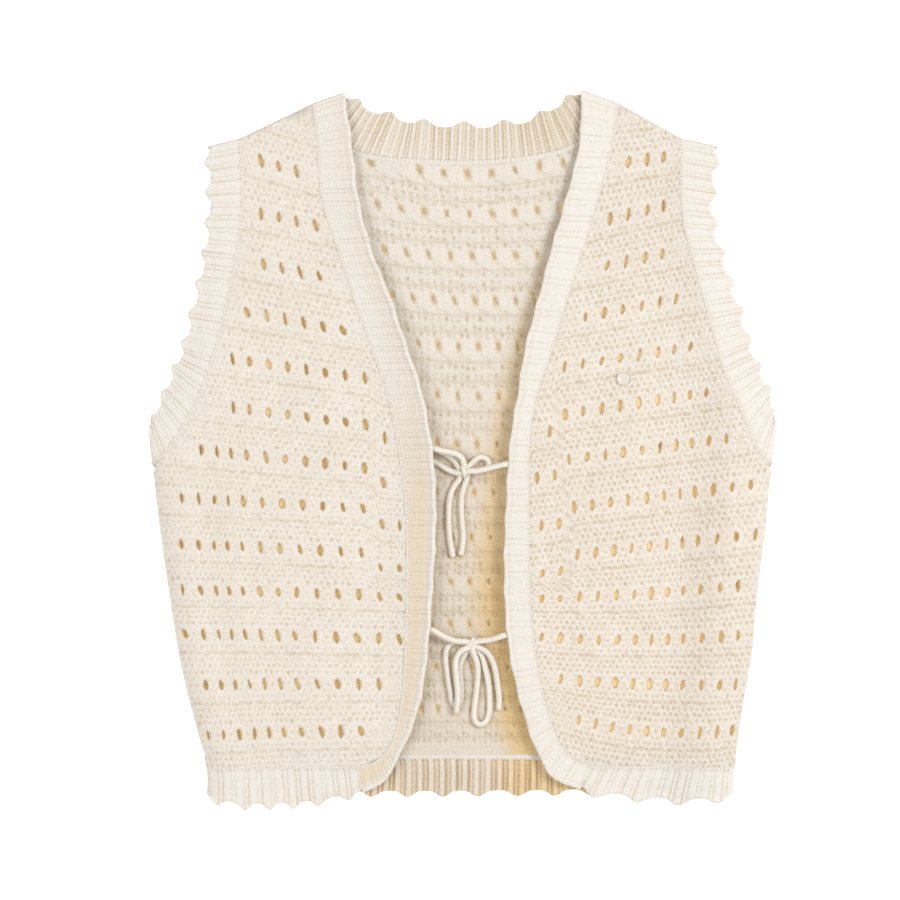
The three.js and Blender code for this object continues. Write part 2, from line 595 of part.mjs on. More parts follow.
function addTies() {
  for (const [name, route] of Object.entries(CORDS)) {
    addMesh(name, cordGeometry(route), MATERIALS.cord);
  }
  for (const [name, centre] of [["knot_upper", UPPER_KNOT], ["knot_lower", LOWER_KNOT]]) {
    const knot = new THREE.SphereGeometry(1, 12, 8);
    knot.scale(KNOT_SIZE.x, KNOT_SIZE.y, KNOT_SIZE.z);
    knot.translate(...centre);
    addMesh(name, knot, MATERIALS.cord);
  }
}

// The plain disc lies on the left front, tilted as the cloth under it is.
function addDisc() {
  const here = onFront(left, DISC.x, DISC.y);
  const reach = DISC.radius;
  const over = onFront(left, DISC.x + reach, DISC.y).sub(onFront(left, DISC.x - reach, DISC.y));
  const along = onFront(left, DISC.x, DISC.y + reach).sub(onFront(left, DISC.x, DISC.y - reach));
  const normal = over.cross(along).normalize();
  const disc = new THREE.CylinderGeometry(DISC.radius, DISC.radius, DISC.thickness, 24);
  const mesh = new THREE.Mesh(disc, MATERIALS.pearl);
  mesh.name = "disc";
  mesh.quaternion.setFromUnitVectors(new THREE.Vector3(0, 1, 0), normal);
  mesh.position.copy(here).addScaledVector(normal, (KNIT + DISC.thickness) / 2 + GAP);
  vest.add(mesh);
}

addBack();
addFront("right", right);
addFront("left", left);
addTies();
addDisc();

export default vest;
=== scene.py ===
"""Sleeveless openwork knitted vest with an open front and two cord bows, laid flat on its back.

Tables and lengths are in millimetres and turned into metres where a mesh is made. +X is towards the
wearer's left, +Y towards the neck, +Z up off the floor. Right and left are the wearer's.
"""
import math

import bpy
import numpy as np
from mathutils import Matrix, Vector
from mathutils.geometry import delaunay_2d_cdt


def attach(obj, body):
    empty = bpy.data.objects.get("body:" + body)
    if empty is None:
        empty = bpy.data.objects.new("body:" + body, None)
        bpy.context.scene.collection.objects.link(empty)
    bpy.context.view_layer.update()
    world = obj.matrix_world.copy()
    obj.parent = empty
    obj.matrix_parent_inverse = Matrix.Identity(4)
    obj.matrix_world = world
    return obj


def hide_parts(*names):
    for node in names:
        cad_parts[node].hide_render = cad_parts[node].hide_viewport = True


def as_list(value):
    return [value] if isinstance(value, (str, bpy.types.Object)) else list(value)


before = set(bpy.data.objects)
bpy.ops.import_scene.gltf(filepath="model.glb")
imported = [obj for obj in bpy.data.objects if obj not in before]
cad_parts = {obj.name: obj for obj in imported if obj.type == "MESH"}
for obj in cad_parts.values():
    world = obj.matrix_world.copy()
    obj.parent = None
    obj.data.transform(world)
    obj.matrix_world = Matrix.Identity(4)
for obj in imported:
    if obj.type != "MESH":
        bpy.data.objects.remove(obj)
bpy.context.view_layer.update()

MM = 0.001
RNG = np.random.default_rng(20)

# Cloth, as in the part's own source
KNIT = 3.0
GAP = 0.3
FOLD_GAP = 0.7
BACK_MID = KNIT / 2
FRONT_MID = 1.5 * KNIT + GAP
BACK_CURL = 13.0
EDGE_LIFT_WIDTH = 45.0
HEM_SEAM_Y = -234.5
BACK_HEM_SEAM_Y = -227.0
UNDERARM_Y = -11.0
FOLD_INSET = 1.3  # the fold's middle line lies this far inside the outline, and its outer face on it

HALF_WALL = 1.35  # half the thickness of the shells, before the stitches stand out of them


def table(names, rows):
    """Named columns of a short table."""
    return dict(zip(names.split(), np.array(rows, float).T))


def tables(names, **rows_of_each):
    """Tables of the same columns, one for each panel."""
    return {panel: table(names, rows) for panel, rows in rows_of_each.items()}


def through(t, key, name):
    """A smooth function through one column of a table, over another column that rises row by row."""
    at, value = t[key], t[name]
    rise_of = np.r_[value[1:], value[-1]] - np.r_[value[0], value[:-1]]
    slope = rise_of / (np.r_[at[1:], at[-1]] - np.r_[at[0], at[:-1]])

    def f(where):
        w = np.clip(where, at[0], at[-1])
        i = np.clip(np.searchsorted(at, w) - 1, 0, len(at) - 2)
        span = at[i + 1] - at[i]
        part = (w - at[i]) / span
        rise = value[i + 1] - value[i]
        low = slope[i] * span - rise
        high = rise - slope[i + 1] * span
        return value[i] + rise * part + part * (1 - part) * (low * (1 - part) + high * part)

    return f


# fold and back are the heights of the outermost line of the front and the back, steep is 1 where they
# turn upright into the side fold, crest is the top of the side roll, crest_in and foot_in how far in
# from the outline its top and its foot are, and lift how far a front's free edge stands up.
HEIGHTS = table(
    "y fold back steep crest crest_in foot_in lift",
    [
        (-262, 10.5, 10.5, 1, 20, 15, 56, 5), (-215, 10.5, 10.5, 1, 23, 16, 59, 9),
        (-130, 10.5, 10.5, 1, 25, 18, 62, 12), (-40, 10.5, 10.5, 1, 24, 20, 64, 12),
        (0, 10.5, 10.5, 1, 20, 22, 65, 12), (15, 11, 10, 1, 17.5, 23, 66, 12),
        (42, 5.8, 1.5, 0, 12.5, 24, 66, 12), (75, 5.2, 1.5, 0, 8.5, 24, 64, 12),
        (120, 5, 1.5, 0, 6, 24, 60, 11), (180, 4.9, 1.5, 0, 4.9, 24, 60, 9),
        (266, 4.8, 1.5, 0, 4.8, 24, 60, 3),
    ],
)
HEIGHT = {name: through(HEIGHTS, "y", name) for name in HEIGHTS}

# Soft creases of each panel: a ridge (a trough below 0) from one point to another, its
# half width and its height.
CREASES = tables(
    "x1 y1 x2 y2 width height",
    right=[
        (-177, 186, -188, 45, 17, 3.2), (-100, 118, -92, -205, 27, 2.6), (-150, -62, -96, -30, 9, 0.9),
        (-163, -150, -104, -178, 10, -0.8), (-120, 60, -78, 26, 9, 0.8), (-70, -60, -66, -150, 8, -0.7),
    ],
    left=[
        (172, 190, 201, 30, 18, 3.6), (112, 92, 100, -190, 26, 1.2), (158, -20, 112, -58, 9, 0.9),
        (172, -120, 118, -160, 10, 0.9), (150, 120, 118, 60, 9, -0.7), (82, -40, 86, -140, 8, 0.7),
    ],
    back=[
        (-150, 120, -120, -40, 14, 1.2), (150, 130, 128, -60, 14, 1.2), (-95, -90, -70, -200, 12, 1.0),
        (110, -110, 84, -205, 12, 1.0), (-60, 205, -20, 180, 9, 0.7), (30, 120, 44, 40, 10, 0.7),
    ],
)

# Outline of the two fronts: SIDES is the side fold, ARMS and BANDS are the ribs, each row one rib line
# from the seam to the free edge, and HEMS is the free edge of each hem rib, the back's as well.
SIDES = tables(
    "y x",
    right=[
        (-262, -187), (-234.5, -187.5), (-208.5, -194), (-180.5, -201.5), (-148, -208.5), (-103.5, -215.5),
        (-59, -222), (-33, -225), (-11, -227.5),
    ],
    left=[
        (-262, 201), (-234.5, 202.5), (-208.5, 205.5), (-180.5, 210), (-148, 215.5), (-103.5, 219.5),
        (-59, 225), (-33, 227.5), (-11, 230),
    ],
)
ARMS = tables(
    "seam_x y edge_x edge_y",
    right=[
        (-227.5, -11, -230, 12), (-215, 0.5, -227, 24.5), (-204.5, 17, -221, 37), (-193.5, 37, -213.5, 55),
        (-183, 66.5, -205.5, 74), (-174.5, 100, -198, 103.5), (-166, 142, -189, 144.5),
        (-161, 181.5, -186, 180.5), (-162.5, 229.5, -187, 223.5),
    ],
    left=[
        (230, -11, 231.5, 13.5), (219.5, 0.5, 231, 28), (211.5, 18.5, 229, 40.5), (203, 38.5, 224, 53.5),
        (194, 60.5, 216.5, 71), (184, 97.5, 207, 102), (174.5, 131.5, 197, 133), (164.5, 174, 187, 171.5),
        (163, 229.5, 190, 223.5),
    ],
)
BANDS = tables(
    "seam_x y edge_x edge_y",
    right=[
        (-74.5, -234.5, -72, -252.5), (-63.5, -231, -58, -246.5), (-54.5, -223.5, -49, -233),
        (-47.5, -208.5, -38, -211), (-42.5, -180.5, -29, -183), (-40.5, -148, -24, -148),
        (-39.5, -103.5, -20.5, -103.5), (-39.5, -55.5, -18, -55.5), (-44, -9.5, -19.5, -9.5),
        (-53.5, 40, -28, 41.5), (-65.5, 75.5, -39, 75.5), (-78, 111, -51.5, 112.5),
        (-89, 144.5, -65, 146.5), (-102, 185, -75, 185), (-105.5, 225.5, -80.5, 228.5),
        (-108.5, 255.5, -85.5, 263.5),
    ],
    left=[
        (97.5, -234.5, 88.5, -250), (84.5, -229.5, 73.5, -245.5), (76, -222, 64, -237),
        (68.5, -207, 53.5, -216), (60.5, -180.5, 43.5, -184.5), (55, -151.5, 36.5, -153),
        (51.5, -122, 33, -122), (50, -81.5, 32, -81.5), (50, -37, 33.5, -37), (50.5, 7.5, 36.5, 7.5),
        (56, 41.5, 42, 42), (67, 74, 47.5, 75.5), (78, 111, 57.5, 113), (90, 148, 67, 149.5),
        (101, 185, 77.5, 185.5), (112, 225.5, 87.5, 227), (116, 255.5, 89, 265.5),
    ],
)
HEMS = tables(
    "x edge_y",
    right=[
        (-187.5, -256), (-170.5, -261), (-142.5, -263), (-107.5, -260.5), (-89, -256.5), (-74.5, -252.5),
    ],
    left=[
        (97.5, -250), (112, -254.5), (133, -257), (162.5, -259.5), (186, -258.5), (202.5, -255),
    ],
    back=[
        (-188, -252), (-60, -254), (80, -253), (203, -251),
    ],
)
BACK_NECK = table(
    "x seam_y edge_x edge_y",
    [
        (-108.5, 255.2, -85.5, 263.2), (-94.5, 232.5, -75, 256.5), (-79, 221.5, -62.5, 251),
        (-56.5, 216, -46, 246), (-27, 214, -25, 242), (2.5, 213, 3.5, 240.5), (33, 214.5, 32, 241.5),
        (62, 218.5, 56, 246.5), (82.5, 225, 68.5, 254), (102, 237, 80.5, 260.5), (116, 255.2, 89, 265.2),
    ],
)

# Eyelet columns of each front, counted from its front band outwards: where each crosses five heights.
COLUMN_HEIGHTS = np.array([170, 43, -56, -137.5, -208.5])
EYELET_COLUMNS = {
    "right": [
        (-51.5, -41, -45, -45, -45.5), (-64, -56, -58, -60.5, -59.5), (-77.5, -70.5, -72.5, -76.5, -73.5),
        (-93, -85, -87.5, -92, -88.5), (-107.5, -99.5, -102.5, -107.5, -102.5),
        (-121.5, -113.5, -117.5, -122.5, -117.5), (-134.5, -127.5, -133, -135, -130.5),
        (-147.5, -141.5, -147.5, -147.5, -141.5), (-161, -156, -161.5, -159.5, -152),
        (-174.5, -168, -172.5, -169, -163), (-187, -179, -182, -178, -174.5),
        (-198, -190.5, -193, -189, -185.5), (-209, -202.5, -205.5, -202.5, -197),
    ],
    "left": [
        (56.5, 50.5, 59.5, 59.5, 61), (70, 64, 73, 73.5, 74.5), (83, 76.5, 85, 88.5, 87),
        (97.5, 90, 98.5, 102, 99.5), (110.5, 104, 112, 116, 111.5), (124, 117.5, 125, 129, 124.5),
        (138, 131.5, 139, 141, 137.5), (150, 145.5, 151.5, 153, 150), (161.5, 157.5, 163.5, 164.5, 163),
        (173.5, 169.5, 174.5, 178, 176.5), (185.5, 181.5, 188.5, 192, 188.5),
        (197, 193.5, 202.5, 204, 199.5), (209, 206, 216.5, 215.5, 210.5),
    ],
}
# Eyelet rows of each front from the shoulder down: the height of each where it crosses the line
# x = ROW_X, its slope and bend there, how far its two innermost eyelets drop, and its first and last
# eyelet column. Rows with last below first have none.
ROW_X = {"right": -119.0, "left": 133.0}
EYELET_ROWS = tables(
    "row y slope bend drop first last",
    right=[
        (0, 241, -0.33, 0, 0, 1, 0), (1, 205, -0.31, 0, 0, 5, 7), (2, 168.5, -0.22, 0, 0, 4, 7),
        (3, 131.5, -0.21, 0, 0, 4, 7), (4, 94.5, -0.19, 0, 0, 3, 8), (5, 60, -0.147, 0, 4, 2, 9),
        (6, 25, -0.127, 0, 8, 1, 9), (7, -8, -0.11, 0, 9.5, 0, 11), (8, -40.5, -0.06, 0, 11, 0, 12),
        (9, -73.5, -0.05, 0, 10.5, 0, 12), (10, -105.5, -0.03, 0, 1, 0, 12),
        (11, -137.5, -0.03, 0, 0, 0, 12), (12, -173, 0, 0, 0, 0, 11), (13, -208.5, 0.02, 0, 0, 2, 11),
        (15, -279, 0.03, 0, 0, 1, 0),
    ],
    left=[
        (0, 250, 0.14, 0, 0, 1, 0), (1, 214, 0.14, 0, 0, 5, 7), (2, 176.2, 0.25, 0, 0, 4, 7),
        (3, 141.5, 0.21, 0, 0, 4, 7), (4, 106.5, 0.2, 0, 0, 3, 8), (5, 70.5, 0.16, 0, 4, 2, 9),
        (6, 35, 0.155, 0, 11, 1, 10), (7, 0, 0.13, 0, 10.5, 0, 11), (8, -36, 0.129, 0, 10.5, 0, 12),
        (9, -72, 0.115, 0, 11, 0, 12), (10, -106.5, 0.06, 0.0004, 1, 0, 12),
        (11, -140.5, 0.01, 0.0006, 0, 0, 11), (12, -173, -0.03, 0.0005, 0, 0, 11),
        (13, -207.5, -0.098, 0.0017, 0, 2, 11), (15, -278, -0.05, 0.0017, 0, 1, 0),
    ],
)
# Eyelet rows of the back: height and middle column of each, the pitch of its eyelets, and its bend.
BACK_ROWS = table(
    "row y x pitch bend",
    [
        (0, 238, 5, 18, 0.0021), (1, 204.2, 5, 17.7, 0.0021), (2, 174.6, 6.5, 16.7, 0.0016),
        (3, 143.6, 8.5, 16.1, 0.0012), (4, 110.3, 10.5, 15.2, 0.0014), (5, 76.5, 13, 14.8, 0.002),
        (6, 39.5, 13, 15.2, 0.003), (7, 4.4, 12, 15, 0.003), (8, -31.5, 10, 14.4, 0.0015),
        (9, -64.5, 8, 14.1, 0), (10, -97.5, 6.5, 14.1, 0), (11, -128.5, 6.5, 14.1, 0),
        (12, -160.5, 8.5, 13.4, 0), (13, -191.5, 8, 12.4, 0), (15, -250, 8, 12.4, 0),
    ],
)
BACK_ROW_MIDDLE = 5.0  # x about which the back's rows bend up
STITCHES = 3  # stitches from one eyelet column to the next
ROUNDS = 8  # rows of stitches from one eyelet row to the next


def clamp01(a):
    return np.clip(a, 0, 1)


def lerp(a, b, share):
    return a + (b - a) * share


def bump(distance, width):
    """A soft bump of height 1 at distance 0."""
    return np.exp(-((distance / width) ** 2))


def creases(name, x, y):
    """Height of a panel's soft creases."""
    total = 0.0
    for x1, y1, x2, y2, width, height in zip(*CREASES[name].values()):
        dx, dy = x2 - x1, y2 - y1
        part = clamp01(((x - x1) * dx + (y - y1) * dy) / (dx * dx + dy * dy))
        total = total + height * bump(np.hypot(x - x1 - part * dx, y - y1 - part * dy), width)
    return total


class Front:
    """Outline and heights of one front. inward is 1 where x rises from its side towards the middle."""

    def __init__(self, name, inward, crest_share):
        self.name, self.inward, self.crest_share = name, inward, crest_share
        arm, band = ARMS[name], BANDS[name]
        self.side = through(SIDES[name], "y", "x")
        self.arm_seam, self.band_seam = (through(t, "y", "seam_x") for t in (arm, band))
        self.arm_free, self.band_free = (through(t, "edge_y", "edge_x") for t in (arm, band))
        self.shoulder = (arm["y"][-1], band["y"][-1])

    def inset(self, y):
        return self.inward * FOLD_INSET * clamp01((30 - y) / 40)

    def side_seam(self, y):
        return np.where(y < UNDERARM_Y, self.side(y), self.arm_seam(y)) + self.inset(y)

    def outline(self, y):
        top = ARMS[self.name]["edge_y"][0]
        share = clamp01((y - UNDERARM_Y) / (top - UNDERARM_Y))
        ramp = lerp(self.side(UNDERARM_Y), self.arm_free(top), share)
        above = np.where(y < top, ramp, self.arm_free(y))
        return np.where(y < UNDERARM_Y, self.side(y), above) + self.inset(y)

    def height(self, x, y):
        in_side = np.maximum(0, (x - self.outline(y)) * self.inward)
        in_edge = np.maximum(0, (self.band_free(y) - x) * self.inward)
        fold = HEIGHT["fold"](y) + FOLD_GAP / 2
        crest = FRONT_MID + (HEIGHT["crest"](y) - FRONT_MID) * self.crest_share
        top = np.maximum(crest, fold)
        crest_in, foot_in = HEIGHT["crest_in"](y), HEIGHT["foot_in"](y)
        lift = HEIGHT["lift"](y) * np.maximum(0, 1 - in_edge / EDGE_LIFT_WIDTH) ** 2
        up = lerp(fold, top, quarter(in_side / crest_in, HEIGHT["steep"](y)))
        down = clamp01((in_side - crest_in) / (foot_in - crest_in))
        flat = lerp(top, FRONT_MID, (1 - np.cos(math.pi * down)) / 2)
        return np.where(in_side < crest_in, up, flat) + lift + creases(self.name, x, y)


def quarter(share, steep):
    """Quarter of an ellipse (steep = 1) or of a sine (steep = 0)."""
    s = clamp01(share)
    return lerp(np.sin(s * math.pi / 2), np.sqrt(1 - (1 - s) ** 2), clamp01(steep))


FRONTS = {"right": Front("right", 1, 1.0), "left": Front("left", -1, 0.8)}


def back_height(x, y):
    right, left = FRONTS["right"], FRONTS["left"]
    in_side = np.maximum(0, np.minimum(x - right.outline(y), left.outline(y) - x))
    fold = np.maximum(BACK_MID, HEIGHT["back"](y) - FOLD_GAP / 2)
    return lerp(fold, BACK_MID, quarter(in_side / BACK_CURL, HEIGHT["steep"](y))) + creases("back", x, y)


def on_cloth(height, xy, lift=0.0):
    """Points of a height field at xy, or at a height above it."""
    return np.column_stack([xy, height(*xy.T) + lift])


def normals(height, xy):
    """Unit normals of a height field at points xy, in millimetres."""
    step = 0.04
    x, y = xy.T
    dx = (height(x + step, y) - height(x - step, y)) / (2 * step)
    dy = (height(x, y + step) - height(x, y - step)) / (2 * step)
    n = np.stack([-dx, -dy, np.ones(len(x))], 1)
    return n / np.linalg.norm(n, axis=1, keepdims=True)


# ---- fabric coordinates


class Fabric:
    """Where the eyelet columns u and rows v of a panel lie in plan, and back again."""

    def to_plan(self, u, v):
        y = self.row["y"](v)
        for _ in range(self.passes):
            x = self.x(u, y)
            y = self.y(v, x, u)
        return np.stack([self.x(u, y), y], 1)

    def to_fabric(self, xy):
        x, y = xy.T
        u = self.u(x, y)
        return u, bisect(lambda v: y - self.y(v, x, u), 0, 15, len(x))


class FrontFabric(Fabric):
    """A front's columns are counted from its band outwards."""

    passes = 4

    def __init__(self, name):
        self.inward, self.row_x, self.rows = FRONTS[name].inward, ROW_X[name], EYELET_ROWS[name]
        rising = [{"y": COLUMN_HEIGHTS[::-1], "x": np.array(xs[::-1])} for xs in EYELET_COLUMNS[name]]
        self.column_x = [through(column, "y", "x") for column in rising]
        self.row = {n: through(self.rows, "row", n) for n in ("y", "slope", "bend", "drop")}

    def x(self, u, y):
        xs = np.stack([f(y) for f in self.column_x])
        i = np.clip(np.floor(u).astype(int), 0, len(xs) - 2)
        k = np.arange(len(u))
        return lerp(xs[i, k], xs[i + 1, k], u - i)

    def u(self, x, y):
        return bisect(lambda u: (x - self.x(u, y)) * self.inward, -6, 20, len(x))

    def y(self, v, x, u):
        d = x - self.row_x
        drop = self.row["drop"](v) * (1 - smoothstep((u - 1.05) / 0.9))
        return self.row["y"](v) + self.row["slope"](v) * d + self.row["bend"](v) * d * d - drop

    def eyelets(self):
        for row, first, last in zip(*(self.rows[n].astype(int) for n in ("row", "first", "last"))):
            for column in range(first, last + 1):
                yield float(column), float(row)


class BackFabric(Fabric):
    """The back's columns are counted from its middle one."""

    passes = 3

    def __init__(self):
        self.row = {n: through(BACK_ROWS, "row", n) for n in ("y", "x", "pitch", "bend")}
        rising = {n: BACK_ROWS[n][::-1] for n in ("y", "x", "pitch")}
        self.at = {n: through(rising, "y", n) for n in ("x", "pitch")}

    def x(self, u, y):
        return self.at["x"](y) + u * self.at["pitch"](y)

    def u(self, x, y):
        return (x - self.at["x"](y)) / self.at["pitch"](y)

    def y(self, v, x, u):
        middle = self.row["y"](v)
        bend = self.row["bend"](v) * np.where(x < BACK_ROW_MIDDLE, 1, clamp01((middle - 120) / 84))
        return middle + np.minimum(bend * (x - BACK_ROW_MIDDLE) ** 2, 8)


def bisect(f, low, high, count):
    """Where the rising function f is zero, for each of count points."""
    a, b = np.full(count, float(low)), np.full(count, float(high))
    for _ in range(26):
        m = (a + b) / 2
        up = f(m) > 0
        b = np.where(up, m, b)
        a = np.where(up, a, m)
    return (a + b) / 2


def smoothstep(a):
    s = clamp01(a)
    return s * s * (3 - 2 * s)


# ---- stitches

SCATTER = RNG.random(4099)


def scatter(i, j):
    """A fixed number from 0 to 1 for each pair of whole numbers."""
    i, j = np.asarray(i).astype(int), np.asarray(j).astype(int)
    return SCATTER[(i * 73 + j * 1171) % len(SCATTER)]


def dimples(stitch, row, width, height):
    """Soft dots of uneven strength, one to a stitch and a row, every other row offset by half a stitch."""
    j = np.round(row)
    stitch = stitch + 0.5 * np.mod(j, 2)
    i = np.round(stitch - 0.5)
    drift = 0.2 * (scatter(i + 31, j) - 0.5)
    strength = 0.62 + 0.7 * scatter(i, j) ** 1.2
    return strength * bump(stitch - 0.5 - i - drift, width) * bump(row - j + drift, height)


def face_stitches(u, v, strength=1.0):
    """Relief in millimetres, and how deep in the knit (0 to 1), of the right side of the openwork."""
    stitch, whole = STITCHES * u, ROUNDS * v
    row = np.mod(whole, ROUNDS)
    dots = dimples(stitch, whole, 0.24, 0.3)
    sway = 0.25 * np.sin(2.1 * stitch + 3 * scatter(np.floor(v), 17))
    purl = bump(row - 3 - sway, 0.36) + 0.8 * bump(row - 6 + sway, 0.36)
    near = bump(row, 1.7) + bump(row - ROUNDS, 1.7)
    between = bump(row, 0.6) + bump(row - ROUNDS, 0.6)
    plain = np.clip(1 - 0.75 * near, 0.15, 1) + 0.5 * between
    across = np.abs(stitch - STITCHES * np.round(u))  # stitches from the nearest eyelet column
    above = np.where(row > ROUNDS / 2, row - ROUNDS, row)  # rows from the eyelet, upwards below 0
    arms = (across < 1.45) * bump(above + 2.5 - 1.05 * across, 0.45)
    beads = 0.5 + 0.5 * np.cos(2 * math.pi * (stitch - 0.5))
    dash = purl * beads * (0.35 + 1.0 * scatter(np.floor(stitch), np.round(whole)))
    sunk = strength * dots * plain
    relief = 0.06 * np.cos(2 * math.pi * stitch) - 0.5 * sunk - 0.42 * dash + 0.3 * arms
    relief += 0.1 * near
    deep = clamp01(0.03 * strength**3 + 0.82 * sunk + 0.5 * dash + 0.05 * near - 0.1 * arms)
    return relief, deep


def wrong_side_stitches(u, v):
    """The same for the wrong side, which the open front shows on the back."""
    stitch, whole = STITCHES * u, ROUNDS * v
    row = np.mod(whole, ROUNDS)
    i = np.round(stitch - 0.5)
    dots, bars = 0.0, 0.0
    for at in (3.4, 4.9, 6.3):
        which = np.floor(v) * 7 + at * 10
        strength = 0.3 + 1.05 * scatter(i, which) ** 1.3
        drift = 0.5 * (scatter(i + 57, which) - 0.5)
        dots = dots + strength * bump(stitch - 0.5 - i - drift, 0.25) * bump(row - at + drift, 0.34)
        bars = bars + bump(row - at - 0.75, 0.4)
    near = bump(row, 1.4) + bump(row - ROUNDS, 1.4)
    column = stitch - STITCHES * np.round(u)
    midway = np.mod(stitch, STITCHES) - STITCHES / 2
    dash = bump(midway - 0.6 * (row - 2.2), 0.22) * bump(row - 2.2, 0.6)
    tail = bump(column - 0.45 - 0.6 * (row - 1.4), 0.2) * bump(row - 1.5, 0.5)
    cuts = 0.8 * dash * (0.4 + 0.8 * scatter(np.round(u), np.floor(v))) + 0.8 * tail
    line = bump(row - 5.6, 0.3) + bump(row - 2.6, 0.3)
    relief = 0.24 * bars - 0.65 * dots - 0.5 * cuts + 0.16 * near - 0.22 * line
    return relief, clamp01(0.04 + 1.1 * dots + 0.75 * cuts + 0.45 * line - 0.08 * near)


# ---- meshes


def link(name, data):
    obj = bpy.data.objects.new(name, data)
    bpy.context.scene.collection.objects.link(obj)
    return obj


def signed_volume(points, faces):
    """Six times a closed mesh's volume, below 0 if its faces point inwards."""
    total = 0.0
    for f in faces:
        for k in range(1, f.shape[1] - 1):
            a, b, c = points[f[:, 0]], points[f[:, k]], points[f[:, k + 1]]
            total += np.sum(np.einsum("ij,ij->i", a, np.cross(b, c)))
    return total


def build_mesh(name, points, faces, point_data):
    """A smooth-shaded mesh from points in millimetres, triangles or quads, and data per point."""
    mesh = bpy.data.meshes.new(name)
    faces = [np.asarray(f, np.int32) for f in faces if len(f)]
    sizes = np.concatenate([np.full(len(f), f.shape[1], np.int32) for f in faces])
    corners = np.concatenate([f.ravel() for f in faces])
    mesh.vertices.add(len(points))
    mesh.vertices.foreach_set("co", (np.asarray(points) * MM).astype(np.float32).ravel())
    mesh.loops.add(len(corners))
    mesh.loops.foreach_set("vertex_index", corners)
    mesh.polygons.add(len(sizes))
    starts = np.r_[0, np.cumsum(sizes)[:-1]].astype(np.int32)
    mesh.polygons.foreach_set("loop_start", starts)
    mesh.update(calc_edges=True)
    mesh.validate()
    if signed_volume(np.asarray(points), faces) < 0:
        mesh.flip_normals()
    mesh.polygons.foreach_set("use_smooth", np.ones(len(mesh.polygons), bool))
    for key, value in point_data.items():
        value = np.asarray(value, np.float32)
        kind = "FLOAT" if value.ndim == 1 else "FLOAT_VECTOR"
        attribute = mesh.attributes.new(key, kind, "POINT")
        attribute.data.foreach_set("value" if value.ndim == 1 else "vector", value.ravel())
    return link(name, mesh)


def signed_area(loop):
    nxt = np.roll(loop, -1, 0)
    return 0.5 * np.sum(loop[:, 0] * nxt[:, 1] - nxt[:, 0] * loop[:, 1])


def triangulate(loops, inner):
    """Triangles over the first loop, clear of the others, as indices into the loops' points and inner."""
    owner = np.repeat(np.arange(len(loops) + 1), [*map(len, loops), len(inner)])
    owner[owner == len(loops)] = -1
    edges = []
    for loop in loops:
        start, count = len(edges), len(loop)
        edges += [(start + i, start + (i + 1) % count) for i in range(count)]
    points = [Vector(p) for p in np.concatenate([*loops, inner]).tolist()]
    _, _, found, origin, _, _ = delaunay_2d_cdt(points, edges, [], 1, 1e-5)
    back = np.array([o[0] for o in origin])
    tris = back[np.array(found)]
    who = owner[tris]
    in_hole = (who[:, 0] > 0) & (who[:, 0] == who[:, 1]) & (who[:, 1] == who[:, 2])
    return tris[~in_hole]


LIP = 0.1  # how far down an eyelet's wall its colour is that of the wall and not of the face


def shell(name, loops, inner, place):
    """A closed shell of cloth: an outline, holes, and points inside for its upper and lower faces.
    place(xy, upper) gives the points in space and their data."""
    loops = [loop if (signed_area(loop) > 0) == (k == 0) else loop[::-1] for k, loop in enumerate(loops)]
    rim = np.concatenate(loops)
    base = len(rim) + len(inner[0])  # from a point of the upper rim to the one below it
    faces, points, data = [], [], {}
    for upper, inside in zip((True, False), inner):
        tris = triangulate(loops, inside)
        faces.append(tris if upper else tris[:, ::-1] + base)
        xyz, values = place(np.concatenate([rim, inside]), upper)
        points.append(xyz)
        for key, value in values.items():
            data.setdefault(key, []).append(value)
    points = np.concatenate(points)
    data = {key: np.concatenate(value) for key, value in data.items()}
    holes = np.arange(len(loops[0]), len(rim))
    lips = len(points) - len(loops[0])  # from a hole's upper rim to its lip
    points = np.concatenate([points, lerp(points[holes], points[holes + base], LIP)])
    data = {key: np.concatenate([value, value[holes + base]]) for key, value in data.items()}
    start = 0
    for loop in loops:
        i = start + np.arange(len(loop))
        j = start + (np.arange(len(loop)) + 1) % len(loop)
        stages = (0, lips, base) if start else (0, base)
        faces += [np.stack([i + a, i + b, j + b, j + a], 1) for a, b in zip(stages, stages[1:])]
        start += len(loop)
    return build_mesh(name, points, faces, data)


EYELET_HALF = (0.135, 0.132)  # half width and height of an eyelet, in columns and rows
EYELET_SIDES = 12
BEADS = (1.38, 1.08)  # size of the raised ring about an eyelet, and of the one where that has no room
EYELET_CLEAR = 1.75  # the rest of the points keep that far from its middle, in its half sizes
# Eyelets of each panel: how far their tops lean along u, how pointed their ends are (blunt below 0),
# mean width and height, the width of the foot for that of the top, and the painted golden glow of the
# wall. purl is for a panel that shows its wrong side, where the stitches' ridges run across. clear is
# how far an eyelet keeps from the panel's outline; one that would come nearer is left out.
EYELET_LOOKS = {
    "front": {
        "lean": 0.04, "point": 0.0, "wide": 0.98, "tall": 0.92, "foot": 0.8, "wall": 1.3,
        "purl": False, "clear": 2.0,
    },
    "back": {
        "lean": -0.045, "point": -0.6, "wide": 0.86, "tall": 0.98, "foot": 0.06, "wall": 1.95,
        "purl": True, "clear": 0.7,
    },
}


def eyelet_shape(look):
    """Width, height, lean, point and ragged rim of one eyelet, uneven as knitting is."""
    slant = look["lean"] + RNG.uniform(-0.035, 0.035)
    wide, tall = look["wide"] * RNG.uniform(0.72, 1.22), look["tall"] * RNG.uniform(0.82, 1.16)
    point = look["point"] + RNG.uniform(-0.25, 0.35)
    return wide, tall, slant, point, RNG.uniform(0.88, 1.1, EYELET_SIDES)


